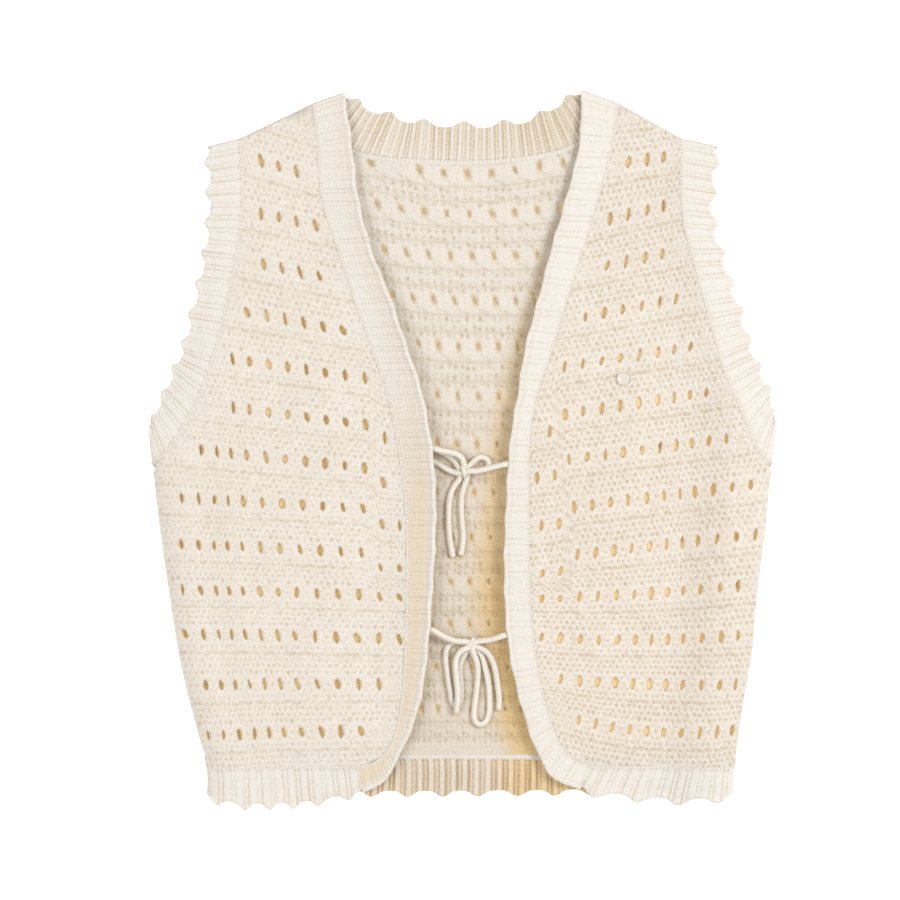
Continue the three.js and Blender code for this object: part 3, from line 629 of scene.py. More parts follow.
def eyelet_ring(u0, v0, scale, shape):
    """A ring about an eyelet, in fabric coordinates. shape is what eyelet_shape gives."""
    turn = 2 * math.pi * np.arange(EYELET_SIDES) / EYELET_SIDES
    wide, tall, lean, point, ragged = shape
    across = ragged * np.sin(turn) * np.maximum(np.abs(np.sin(turn)), 1e-6) ** point
    along = ragged * np.cos(turn)
    u = u0 + scale * EYELET_HALF[0] * wide * across + lean * along
    v = v0 - scale * EYELET_HALF[1] * tall * along
    return u, v


def grid(u_range, v_range, per_u, per_v):
    u = np.arange(round(u_range[0] * per_u), round(u_range[1] * per_u) + 1) / per_u
    v = np.arange(round(v_range[0] * per_v), round(v_range[1] * per_v) + 1) / per_v
    uu, vv = np.meshgrid(u, v)
    return uu.ravel(), vv.ravel()


def clear_of_eyelets(u, v, kept):
    """True where (u, v) is outside every eyelet and the bead about it."""
    keep = np.ones(len(u), bool)
    for (a, b), (wide, tall, *_) in kept.items():
        here = (np.round(u) == a) & (np.round(v) == b)
        d = np.hypot((u[here] - a) / (EYELET_HALF[0] * wide), (v[here] - b) / (EYELET_HALF[1] * tall))
        keep[here] = d > EYELET_CLEAR
    return keep


def polyline(points, step):
    """Points along a polyline about step apart, its corners kept."""
    out = []
    for a, b in zip(points[:-1], points[1:]):
        n = max(1, int(round(np.hypot(*(b - a)) / step)))
        out.append(lerp(a[None], b[None], (np.arange(n) / n)[:, None]))
    out.append(points[-1:])
    return np.concatenate(out)


def inside_polygon(points, polygon, margin):
    """True for points inside a polygon and at least margin from its edges."""
    keep = np.zeros(len(points), bool)
    close = np.full(len(points), np.inf)
    x, y = points.T
    for (x1, y1), (x2, y2) in zip(polygon, np.roll(polygon, -1, 0)):
        crosses = (y1 > y) != (y2 > y)
        ex, ey = x2 - x1, y2 - y1
        with np.errstate(divide="ignore", invalid="ignore"):
            keep ^= crosses & (x < ex * (y - y1) / ey + x1)
        part = clamp01(((x - x1) * ex + (y - y1) * ey) / (ex * ex + ey * ey))
        close = np.minimum(close, (x - x1 - part * ex) ** 2 + (y - y1 - part * ey) ** 2)
    return keep & (close > margin * margin)


EDGE_STEP = 1.3  # distance between points along a panel's outline


def tie_shadow(x, y):
    """Painted shadow of the ties on the back: 1 under them, fading to 0 beside them."""
    near = np.zeros(len(x))
    close = np.flatnonzero((x > -45) & (x < 60) & (y > -220) & (y < 20))
    route = np.concatenate([smooth_route(name, 1.2)[0] for name in CORD_ROUTES])
    apart = np.hypot(x[close, None] - route[:, 0], y[close, None] - route[:, 1])
    near[close] = bump(apart.min(1), CORD)
    return near


def back_glow_and_shade(xy, upper):
    """Painted glow and shade of the back: a golden glow under the fronts, the left band's painted shadow
    beside it, painted shade by the right band and under the ties, and a darker, warmer tone lower down.
    The glow stands in for light that reaches it off other cloth."""
    if not upper:
        return np.zeros(len(xy)), np.zeros(len(xy))
    x, y = xy.T
    right, left = ((front.band_free(y) - x) * front.inward for front in FRONTS.values())  # mm covered
    low = clamp01((190 - y) / 300)
    left_band_shadow = low**0.5 * smoothstep(1.3 + 1.3 * (left - 1) / lerp(10, 42, low))
    right_band_shade = 0.45 * low * smoothstep(1 + (right - 1) / 11)
    # Painted shade: a tone lower down, the left band's shadow, shade by the right band and the ties'
    # shadows
    shades = (0.12 + 0.16 * smoothstep((120 - y) / 220), left_band_shadow, right_band_shade, 0.85 * tie_shadow(x, y))
    return smoothstep((np.maximum(right, left) + 2) / 12), np.maximum.reduce(shades)


def front_underside_glow(xy, upper):
    """Painted glow and shade of a front: a golden glow on its wrong side, which faces the body; no shade.
    """
    return np.full(len(xy), 0.0 if upper else 0.9), np.zeros(len(xy))


def cut_eyelets(outline, fabric, eyelets, look):
    """The eyelets that fit inside an outline with their shapes, and the rings of their rims and beads."""
    shapes = [eyelet_shape(look) for _ in eyelets]
    kept, rims, beads = {}, [], []
    for (u, v), shape in zip(eyelets, shapes):
        rim, bead, tight = (fabric.to_plan(*eyelet_ring(u, v, scale, shape)) for scale in (1.0, *BEADS))
        if inside_polygon(rim, outline, look["clear"]).all():
            kept[u, v] = shape
            rims.append(rim)
            beads.append(bead if inside_polygon(bead, outline, 0.4).all() else tight)
    return kept, rims, beads


def face_points(grids, outline, fabric, kept):
    """Points of a face's grids that are inside the outline and clear of the eyelets."""
    found = []
    for ranges_and_steps in grids:
        u, v = grid(*ranges_and_steps)
        clear = clear_of_eyelets(u, v, kept)
        found.append(fabric.to_plan(u[clear], v[clear]))
    xy = np.concatenate(found)
    return xy[inside_polygon(xy, outline, 0.55)]


# Relief and depth in the knit of the points of a panel's outline, an eyelet's rim and its bead
EDGE_LOOKS = ((-0.3, 0.2), (-0.25, 0.45), (0.3, 0.0))


def openwork(name, outline, fabric, eyelets, look, height, stitches, grids, tint):
    """A panel of openwork knit as a closed shell. grids are the points per column and row of its
    upper and lower faces, each a list of (u range, v range, per u, per v). Its last argument, a
    function of (xy, upper), gives the painted golden glow and the painted shade of its points."""
    coarse = outline[:: max(1, len(outline) // 260)]
    kept, rims, beads = cut_eyelets(coarse, fabric, eyelets, look)
    inner = [np.concatenate([*beads, face_points(faces, coarse, fabric, kept)]) for faces in grids]
    ends = np.cumsum([len(outline), EYELET_SIDES * len(rims), EYELET_SIDES * len(rims)])
    edge, rim, bead = slice(ends[0]), slice(*ends[:2]), slice(*ends[1:])

    def place(xy, upper):
        u, v = fabric.to_fabric(xy)
        relief, deep = stitches(u, v)
        for part, (out, depth) in zip((edge, rim, bead), EDGE_LOOKS):
            relief[part], deep[part] = out, depth
        uneven = 0.1 * RNG.standard_normal(len(u)) * (deep < 0.7)
        along = [ROUNDS * v, STITCHES * u] if look["purl"] else [STITCHES * u, ROUNDS * v]
        # Painted golden glow and painted shade of these points
        painted_glows, shade = tint(xy, upper)
        if upper:
            out = HALF_WALL + relief + uneven
        else:
            out = -(HALF_WALL + 0.3 * relief)
            deep = 0.6 * deep
            # The eyelet walls get a painted golden glow, weaker where the face around them has painted
            # shade
            painted_glows[rim] = np.maximum(look["wall"] - 1.6 * tint(xy[rim], True)[1], 0.85)
            xy = xy.copy()
            middles = xy[rim].reshape(-1, EYELET_SIDES, 2).mean(1).repeat(EYELET_SIDES, 0)
            xy[rim] = lerp(middles, xy[rim], look["foot"])
        xyz = on_cloth(height, xy) + normals(height, xy) * out[:, None]
        knit = np.stack([*along, np.zeros(len(u))], 1)
        return xyz, {"deep": deep, "shade": shade, "knit": knit, "tint": painted_glows}

    return shell(name, [outline, *rims], inner, place)


def front_outline(front):
    """The panel's outline without its ribs."""
    side_y = np.linspace(HEM_SEAM_Y, front.shoulder[0], 40)
    side = np.stack([front.side_seam(side_y), side_y], 1)
    band_y = np.linspace(front.shoulder[1], HEM_SEAM_Y, 60)
    band = np.stack([front.band_seam(band_y), band_y], 1)
    return polyline(np.concatenate([side, band, side[:1]]), EDGE_STEP)[:-1]


# The left front's stronger dots also make its whole knit a little darker.
STITCH_STRENGTH = {"right": 1.0, "left": 1.5}  # the left front's dots show more


PANEL_V = (0, 14.6)  # rows that a panel's grids go over


def make_front_knit(name):
    front, fabric = FRONTS[name], FrontFabric(name)
    fine, rough = ([((-2, 17), PANEL_V, *steps)] for steps in ((12, 32), (4, 8)))

    def stitches(u, v):
        return face_stitches(u, v, STITCH_STRENGTH[name])

    return openwork(
        f"front_{name}_knit", front_outline(front), fabric, list(fabric.eyelets()), EYELET_LOOKS["front"],
        front.height, stitches, (fine, rough), front_underside_glow,
    )


def back_outline():
    right, left = FRONTS["right"], FRONTS["left"]
    y = np.linspace(BACK_HEM_SEAM_Y, right.shoulder[0], 40)
    up = np.stack([left.side_seam(y), y], 1)
    x = np.linspace(BACK_NECK["x"][-1], BACK_NECK["x"][0], 40)
    neck = np.stack([x, through(BACK_NECK, "x", "seam_y")(x)], 1)
    down = np.stack([right.side_seam(y[::-1]), y[::-1]], 1)
    return polyline(np.concatenate([up, neck, down, up[:1]]), EDGE_STEP)[:-1]


def make_back_knit():
    """The back, fine where it shows between the fronts."""
    eyelets = [(float(u), float(v)) for v in range(1, 14) for u in range(-17, 18)]
    upper = [((-7, 7), PANEL_V, 12, 32), ((-18, -7.3), PANEL_V, 2, 4), ((7.3, 18), PANEL_V, 2, 4)]
    under = [((-18, 18), PANEL_V, 4, 7)]
    return openwork(
        "back_knit", back_outline(), BackFabric(), eyelets, EYELET_LOOKS["back"],
        back_height, wrong_side_stitches, (upper, under), back_glow_and_shade,
    )


# ---- ribs

WALE = 3.17  # width of one wale of ribbing
RIB_STEP = 0.5  # distance between the points along a rib
SEAM_GAP = 0.4  # from a seam to the first points of its rib
ARM_BACK_INSET = 4.0  # how far the armhole rib of the back lies inside that of the front


def side_line(rows, inset=0.0):
    """Rib lines of an armhole or band: a function of y along it and the share across, seam to free edge."""
    seam_x, edge_x, edge_y = (through(rows, "y", n) for n in ("seam_x", "edge_x", "edge_y"))

    def line(y, share):
        sx, ex, ey = seam_x(y), edge_x(y), edge_y(y)
        share = share * (1 - inset / np.hypot(ex - sx, ey - y))
        return np.stack([lerp(sx, ex, share), lerp(y, ey, share)], -1)

    return line


def neck_line(x, share):
    sy, ex, ey = (through(BACK_NECK, "x", n)(x) for n in ("seam_y", "edge_x", "edge_y"))
    return np.stack([lerp(x, ex, share), lerp(sy, ey, share)], -1)


def hem_line(name, seam_y, start, end):
    """A hem's rib lines: a function of the share along it, from start(y) to end(y), and across."""
    edge_y = through(HEMS[name], "x", "edge_y")

    def line(along, share):
        y = lerp(seam_y, edge_y(lerp(start(seam_y), end(seam_y), along)), share)
        return np.stack([lerp(start(y), end(y), along), y], -1)

    return line


def wave(turns):
    """A scalloped edge: points outward at whole turns, rounder inward."""
    return np.cos(2 * math.pi * turns) + 0.22 * np.cos(4 * math.pi * turns)


def even_waves(pitch, phase):
    """Turns of a scalloped edge of about that pitch, whole over its length."""
    return lambda part, length: part * max(1, round(length / pitch)) + phase


def placed_waves(*tips):
    """Turns of a scalloped edge with its points at those shares of its length."""
    counts = np.arange(len(tips), dtype=float)
    first, last = tips[1] - tips[0], tips[-1] - tips[-2]

    def turns(part, length):
        spill = np.minimum(0, part - tips[0]) / first + np.maximum(0, part - tips[-1]) / last
        return np.interp(part, tips, counts) + spill

    return turns


def rib_relief(along, deep_in, pitch, strength):
    """Relief of ribbing in millimetres, and its depth (0 to 1): a broad rib and a narrow one to each
    pitch, with a groove on each side of the narrow one. deep_in is the distance from the seam."""
    cell = along / pitch
    which = np.round(cell)
    off = (cell - which) * pitch + 0.2 * np.sin(along / 13)
    narrow = 0.17 * pitch
    past = np.abs(off) - narrow
    broad = np.sqrt(1 - (1 - clamp01(past / (pitch / 2 - narrow))) ** 2)
    dome = np.where(past > 0, broad, 0.7 * np.sqrt(1 - clamp01(np.abs(off) / narrow) ** 2))
    groove = bump(past, 0.3 + 0.25 * strength) * (0.4 + 0.8 * scatter(which, 5 + (off > 0)))
    stitch = np.cos(2 * math.pi * (deep_in / 2.7 + 0.5 * which))
    relief = 0.45 * (dome - 0.7) - 0.45 * groove + 0.07 * stitch * dome
    deep = 0.5 * groove * (0.5 + 0.5 * smoothstep(deep_in / 16)) + 0.1 * (1 - dome) - 0.05 * stitch
    return strength * relief, strength * clamp01(deep)


def across_distances(length):
    """Distances from the seam of the points across a rib, close together at its free edge."""
    spaced = np.linspace(0, 1, 17)
    inner = SEAM_GAP + spaced * (length - 2.2 - SEAM_GAP)
    return np.concatenate([inner, length - np.array([1.5, 0.9, 0.4, 0.1, 0.0])])


UNDER_POINTS = [20, 19, 18, 17, 15, 12, 9, 6, 3, 0]  # those of them that the underside has as well


def rib(name, look, line, ends, height):
    """A strip of ribbing with a scalloped free edge, as one closed shell."""
    waves, depth, pitch, strength, shade = RIB_LOOKS[look]
    t = np.linspace(ends[0], ends[1], 6000)
    middle = line(t, np.full(len(t), 0.6))
    run = np.r_[0, np.cumsum(np.hypot(*np.diff(middle, axis=0).T))]
    along = np.linspace(0, run[-1], int(run[-1] / RIB_STEP) + 1)
    t = np.interp(along, run, t)
    full = np.hypot(*(line(t, np.ones(len(t))) - line(t, np.zeros(len(t)))).T)
    length = full + depth / 2 * wave(waves(along / run[-1], run[-1])) * (0.9 + 0.2 * RNG.random())
    across = np.array([across_distances(reach) for reach in length])
    n, m = across.shape
    xy = line(np.repeat(t, m), (across / full[:, None]).ravel())
    from_edge = (length[:, None] - across).ravel()
    relief, deep = rib_relief(np.repeat(along, m), across.ravel(), pitch, strength)
    relief += 0.55 * bump(from_edge - 1.8, 1.3) - 0.3 * bump(from_edge - 5.2, 1.6)
    rounding = np.sqrt(1 - (1 - clamp01(from_edge / 1.5)) ** 2)
    up = (HALF_WALL + relief * clamp01(0.75 + across.ravel() / 8)) * rounding
    down = (HALF_WALL + 0.25 * relief) * rounding
    base, normal = on_cloth(height, xy), normals(height, xy)
    top, under = ((base + normal * out[:, None]).reshape(n, m, 3) for out in (up, -down))
    # Painted shade of the rib, from its look
    painted_shade = shade(xy, from_edge) if shade else np.zeros(n * m)

    def around(upper, lower):
        return np.concatenate([upper, lower[:, UNDER_POINTS]], 1)

    deep, painted_shade = deep.reshape(n, m), painted_shade.reshape(n, m)
    wales, rounds = np.broadcast_arrays((along / WALE)[:, None], around(across, across) / 2.7)
    data = {
        "deep": around(deep, 0.7 * deep).ravel(),
        "shade": around(painted_shade, painted_shade).ravel(),
        "knit": np.stack([wales, rounds, 0 * wales], -1).reshape(-1, 3),
    }
    return ring_mesh(name, around(top, under), data)


def ring_mesh(name, ring, data):
    """A mesh through rings of points, stations by points by xyz, with capped ends."""
    n, k, _ = ring.shape
    i = np.arange(n - 1)[:, None] * k
    j = np.arange(k)
    jn = (j + 1) % k
    quads = np.stack([i + j, i + k + j, i + k + jn, i + jn], -1).reshape(-1, 4)
    points = np.concatenate([ring.reshape(-1, 3), [ring[0].mean(0), ring[-1].mean(0)]])
    first = np.stack([np.full(k, n * k), j, jn], 1)
    last = np.stack([np.full(k, n * k + 1), (n - 1) * k + jn, (n - 1) * k + j], 1)
    data = {key: np.concatenate([v, v[:1], v[-1:]]) for key, v in data.items()}
    return build_mesh(name, points, [quads, np.concatenate([first, last])], data)


# ---- tubes: seams and cords


def frames(path):
    """Side and upward directions along a path."""
    tangent = np.gradient(path, axis=0)
    tangent /= np.linalg.norm(tangent, axis=1, keepdims=True)
    side = np.cross(tangent, (0.0, 0.0, 1.0))
    for _ in range(6):
        side[1:-1] = side[1:-1] + 0.5 * (side[:-2] + side[2:])
        side -= tangent * np.sum(side * tangent, 1, keepdims=True)
        side /= np.maximum(np.linalg.norm(side, axis=1, keepdims=True), 1e-6)
    return side, np.cross(side, tangent)


def resample(path, step):
    run = np.r_[0, np.cumsum(np.linalg.norm(np.diff(path, axis=0), axis=1))]
    at = np.linspace(0, run[-1], max(3, int(run[-1] / step)) + 1)
    return np.stack([np.interp(at, run, path[:, c]) for c in range(3)], 1), at


def smooth_route(name, step):
    """A Catmull-Rom curve through a cord's points, in even steps, and the distance along it."""
    p = np.array([(*point, CORD_LOW)[:3] for point in CORD_ROUTES[name]])
    p = np.concatenate([2 * p[:1] - p[1:2], p, 2 * p[-1:] - p[-2:-1]])
    t = np.linspace(0, 1, 24, endpoint=False)[:, None]
    parts = []
    for a, b, c, d in zip(p[:-3], p[1:-2], p[2:-1], p[3:]):
        bend = 2 * a - 5 * b + 4 * c - d
        parts.append(b + 0.5 * t * (c - a + t * (bend + t * (3 * (b - c) + d - a))))
    return resample(np.concatenate([*parts, p[-2:-1]]), step)


def tube(name, path, at, radius, sides, deep, flat):
    """A tube whose radius(at, turn) may swell; flat squeezes it in height."""
    side, up = frames(path)
    turn = 2 * math.pi * np.arange(sides) / sides
    r = radius(at[:, None], turn)
    ring = path[:, None] + side[:, None] * (r * np.cos(turn))[..., None]
    ring = ring + up[:, None] * (flat * r * np.sin(turn))[..., None]
    around, along, zero = np.broadcast_arrays(6 * np.arange(sides) / sides, at[:, None] / 2.4, 0.0)
    depth = deep(at[:, None], turn) * np.ones_like(r)
    data = {"deep": depth.ravel(), "knit": np.stack([around, along, zero], -1).reshape(-1, 3)}
    return ring_mesh(name, ring, data)


def chain(name, path, size=1.1, flat=0.8):
    """A raised chain of stitches along a path."""
    path, at = resample(path, 0.7)

    def radius(at, turn):
        return size * (1 + 0.16 * np.cos(2 * math.pi * at / 2.9 + 1.1 * np.cos(turn)))

    def deep(at, turn):
        return 0.35 * (1 - np.sin(turn)) * 0.5 + 0.22 * (1 - np.cos(2 * math.pi * at / 2.9))

    return tube(name, path, at, radius, 8, deep, flat)


# Where the chain of each seam lies across the rib, its lift above the cloth's middle, its size and how
# much of its width its height is
SEAM_LOOKS = {
    "arm": (0.012, 0.95, 1.7, 0.5),
    "band": (0.008, 0.95, 1.5, 0.45),
    "hem": (0.02, 0.95, 1.5, 0.5),
    "neck_back": (-0.03, 0.9, 2.4, 0.45),
    "hem_back": (0.0, 0.95, 2.3, 0.5),
}


def seam(name, look, line, ends, height):
    """The chain where a rib is picked up, along line(t, share)."""
    share, lift, size, flat = SEAM_LOOKS[look]
    t = np.linspace(*ends, 4000)
    return chain(name, on_cloth(height, line(t, np.full(len(t), share)), lift), size, flat)


def side_seam(name):
    """The seam down a side, inside the fold where the front meets the back."""
    front = FRONTS[name]
    y = np.linspace(HEM_SEAM_Y, UNDERARM_Y, 400)
    z = (HEIGHT["fold"](y) + HEIGHT["back"](y)) / 2
    return chain(f"seam_side_{name}", np.column_stack([front.outline(y) + 1.2 * front.inward, y, z]))


def shoulder_seam(name):
    """The seam along a shoulder, ribs and all, between the front and the back."""
    arm, band = ({key: column[-1] for key, column in rows[name].items()} for rows in (ARMS, BANDS))
    corners = [(arm["edge_x"], arm["edge_y"]), (arm["seam_x"], arm["y"])]
    corners += [(band["seam_x"], band["y"]), (band["edge_x"], band["edge_y"])]
    path = np.array([(*corner, (FRONT_MID + BACK_MID) / 2) for corner in corners])
    return chain(f"seam_shoulder_{name}", path)


CORD = 4.4
CORD_LOW = 5.6  # height of the middle of a strand that lies on the back
# The four ties, each one cord: from under the edge of the front's band, through the knot, round its
# loop, through the knot again and down its tail. A point with no height of its own is at CORD_LOW.
CORD_ROUTES = {
    "cord_upper_right": [
        (-26, 2.4, 10.6), (-21.5, 1.4, 12.7), (-17, 0.5, 14.6), (-13, -0.8, 14.2), (-8, -1.6, 13.2),
        (-3, -3, 12.3), (1, -6, 11.5), (2.6, -10.2, 10.7), (4.4, -12.6, 9), (7.3, -11, 7.5), (11, -7.4, 7),
        (14.5, -5.6, 6.4), (18.5, -6.2, 5.8), (20.8, -9), (20.2, -12.4), (16.5, -14.8), (9, -15.9),
        (5.6, -18, 6), (4.7, -21.2, 6.4), (2.8, -27), (1.2, -33), (0.6, -41), (1, -51), (2, -61.5),
        (1.5, -71), (0.2, -78),
    ],
    "cord_upper_left": [
        (41.5, -9, 10.2), (37, -9.8, 12.4), (33.2, -10.6, 14.7), (29, -11.4, 14.4), (23.5, -12.8, 13.4),
        (17, -14.6, 12.6), (11.5, -15.6, 11.8), (8, -15.7, 11.3), (3.4, -16.2, 9.6), (-2.7, -16.9, 7.2),
        (-8, -15.2, 5.9), (-12, -13), (-17.5, -9.8), (-22.5, -8), (-26.5, -5.8), (-27.2, -2.2),
        (-23.5, 0.4), (-17.5, -0.2), (-11.5, -2.6), (-6.5, -6.2, 5.8), (-2.6, -10.6, 6.4),
        (-0.4, -15.6, 6.6), (-0.8, -21.4, 6.4), (-4.4, -26.4, 5.7), (-7.2, -32.5), (-8.6, -42), (-8.7, -54),
        (-7.8, -66.5), (-6.5, -74), (-5.3, -79.5),
    ],
    "cord_lower_right": [
        (-28, -130.6, 10.6), (-23.5, -132, 12.7), (-19, -133.5, 14.6), (-14.6, -136.2, 13.8),
        (-9.6, -138.8, 12.6), (-4.4, -140.6, 11.8), (0.2, -141.3, 11.4), (3.5, -141.4, 11.2),
        (6.6, -142, 9.2), (6, -142.2, 6.8), (3.2, -142.1, 5.7), (-5.4, -142.6), (-9.6, -146), (-11, -152.5),
        (-10.2, -161.5), (-8.8, -171.5), (-7.4, -179), (-6.6, -184.8), (-3.9, -188.4), (-0.9, -186.6),
        (0.2, -181.5), (0.2, -173), (-0.6, -164.5), (0.2, -157), (3.8, -150), (6.6, -147.2, 7.6),
        (6.4, -145.8, 9.9), (3.9, -146.6, 10.9), (-0.4, -149.4, 10.7), (-3, -154, 10.6), (-3.6, -160, 10.6),
        (-3, -168.5, 10.6), (-2, -178.5, 10.6), (-2.4, -187, 10.4), (-3.4, -194.6, 8),
    ],
    "cord_lower_left": [
        (40.5, -135.4, 10.4), (35.8, -136.1, 12.6), (31.5, -137, 14.8), (27, -138.6, 13.8),
        (21.5, -140.2, 12), (13.8, -141.2, 10.6), (10, -143.2, 10), (9.3, -149, 9.3), (11.6, -155, 9),
        (12.8, -161.5, 7.8), (12.5, -171.5, 6), (11.2, -183.5), (10, -194), (11, -200.4), (15, -202.8),
        (19.4, -199.8), (21.3, -193), (21.3, -180), (20.2, -170), (18, -160.5), (15.5, -152.4),
        (12, -147.6, 6.4), (11.4, -145.6, 8), (14, -146.2, 8.8), (19, -149, 7.8), (23, -154.4, 6.4),
        (25.6, -162), (27.4, -173), (28.6, -183.5), (28.3, -192.5),
    ],
}
# Middle of each knot, and how far its wrap is turned round
KNOTS = {"knot_upper": ((3.0, -15.5, 8.3), 0.35), "knot_lower": ((8.5, -143.0, 8.3), -0.3)}
KNOT_RING = 3.15  # radius of the wrap


def cord_relief(length):
    """A narrow knitted cord: wales along it, stitches across them, and rounded ends."""

    def radius(at, turn):
        stitch = np.cos(2 * math.pi * at / 2.4 + 2.2 * np.abs(np.sin(1.5 * turn)))
        wales = np.abs(np.cos(1.5 * turn))
        end = np.minimum(at, length - at)
        rounding = np.sqrt(1 - (1 - clamp01((end + 0.15) / 1.8)) ** 2)
        return CORD / 2 * (0.96 + 0.09 * wales + 0.045 * stitch) * rounding

    return radius


def cord_depth(at, turn):
    return clamp01(0.5 - 0.5 * np.abs(np.cos(1.5 * turn)) + 0.15 * np.cos(2 * math.pi * at / 2.4))


def make_cord(name):
    path, at = smooth_route(name, 0.6)
    return tube(name, path, at, cord_relief(at[-1]), 12, cord_depth, 0.92), path, float(at[-1])


def make_knot(name):
    """The wrap of a bow's knot: the cord once and a quarter round the strands it holds."""
    (x0, y0, z0), twist = KNOTS[name]
    turn = np.linspace(-0.9 * math.pi, 1.6 * math.pi, 60)
    across = np.linspace(-1.5, 1.5, 60)
    y = KNOT_RING * 1.05 * np.sin(turn)
    z = KNOT_RING * 0.85 * np.cos(turn)
    c, s = math.cos(twist), math.sin(twist)
    path, at = resample(np.stack([x0 + c * across - s * y, y0 + s * across + c * y, z0 + z], 1), 0.6)
    radius = cord_relief(at[-1])
    return tube(name + "_wrap", path, at, lambda a, q: 0.92 * radius(a, q), 12, cord_depth, 0.95)


# ---- the disc

DISC = (120.0, 52.5)


def make_disc(height):
    """A small pearly disc, its face a little dished inside a rounded rim."""
    profile = [
        (4.4, 0), (4.8, 0.25), (5, 0.75), (4.85, 1.25), (4.4, 1.55), (3.8, 1.6), (3.2, 1.45), (2.2, 1.32),
        (1, 1.28),
    ]
    at = np.array([DISC])
    n = normals(height, at)[0]
    a = np.cross(n, (0.0, 1.0, 0.0))
    a /= np.linalg.norm(a)
    b = np.cross(n, a)
    turn = 2 * math.pi * np.arange(48) / 48
    circle = np.outer(np.cos(turn), a) + np.outer(np.sin(turn), b)
    foot = on_cloth(height, at)[0] + n * (HALF_WALL + 0.35)
    ring = np.stack([foot + n * h + r * circle for r, h in profile])
    return ring_mesh("pearl_disc", ring, {"deep": np.zeros(ring.shape[0] * ring.shape[1])})


# ---- materials


def node(tree, kind, inputs=None, **settings):
    """A shader node: inputs maps socket names or numbers to values or to other nodes' outputs."""
    made = tree.nodes.new("ShaderNode" + kind)
    for key, value in settings.items():
        setattr(made, key, value)
    for key, value in (inputs or {}).items():
        if isinstance(value, bpy.types.NodeSocket):
            tree.links.new(value, made.inputs[key])
        else:
            made.inputs[key].default_value = value
    return made


def maths(tree, operation, *values):
    return node(tree, "Math", dict(enumerate(values)), operation=operation).outputs[0]


def noise(tree, scale, **looks):
    where = node(tree, "TexCoord").outputs["Object"]
    return node(tree, "TexNoise", {"Vector": where, "Scale": scale, **looks}).outputs[0]


def new_material(name):
    material = bpy.data.materials.new(name)
    material.use_nodes = True
    material.node_tree.nodes.clear()
    return material


def principled(tree, **looks):
    """A Principled shader, its sockets named with _ for each space."""
    return node(tree, "BsdfPrincipled", {key.replace("_", " "): look for key, look in looks.items()})


def blend_colour(tree, factor, first, second):
    """Colour between two, either of them a socket or (r, g, b)."""
    pair = [c if isinstance(c, bpy.types.NodeSocket) else (*c, 1.0) for c in (first, second)]
    return node(
        tree, "Mix", {"Factor": factor, 6: pair[0], 7: pair[1]}, data_type="RGBA", clamp_factor=True
    ).outputs[2]


def yarn(tree, plies):
    """Height of the stitches from the knit attribute: two legs to a stitch that lean into a V."""
    place = node(tree, "Attribute", attribute_name="knit")
    parts = node(tree, "SeparateXYZ", {0: place.outputs["Vector"]})
    across, along = parts.outputs[0], parts.outputs[1]
    part = maths(tree, "FRACT", across)
    leg = maths(tree, "ABSOLUTE", maths(tree, "SINE", maths(tree, "MULTIPLY", across, 2 * math.pi)))
    tri = maths(tree, "ABSOLUTE", maths(tree, "SUBTRACT", part, 0.5))
    lean = maths(tree, "MULTIPLY", tri, plies)
    turn = maths(tree, "MULTIPLY", maths(tree, "ADD", along, lean), 2 * math.pi)
    strand = maths(tree, "MULTIPLY_ADD", maths(tree, "COSINE", turn), 0.5, 0.5)
    strand = maths(tree, "MULTIPLY_ADD", strand, 0.75, 0.25)
    return maths(tree, "MULTIPLY", maths(tree, "POWER", leg, 0.6), strand)


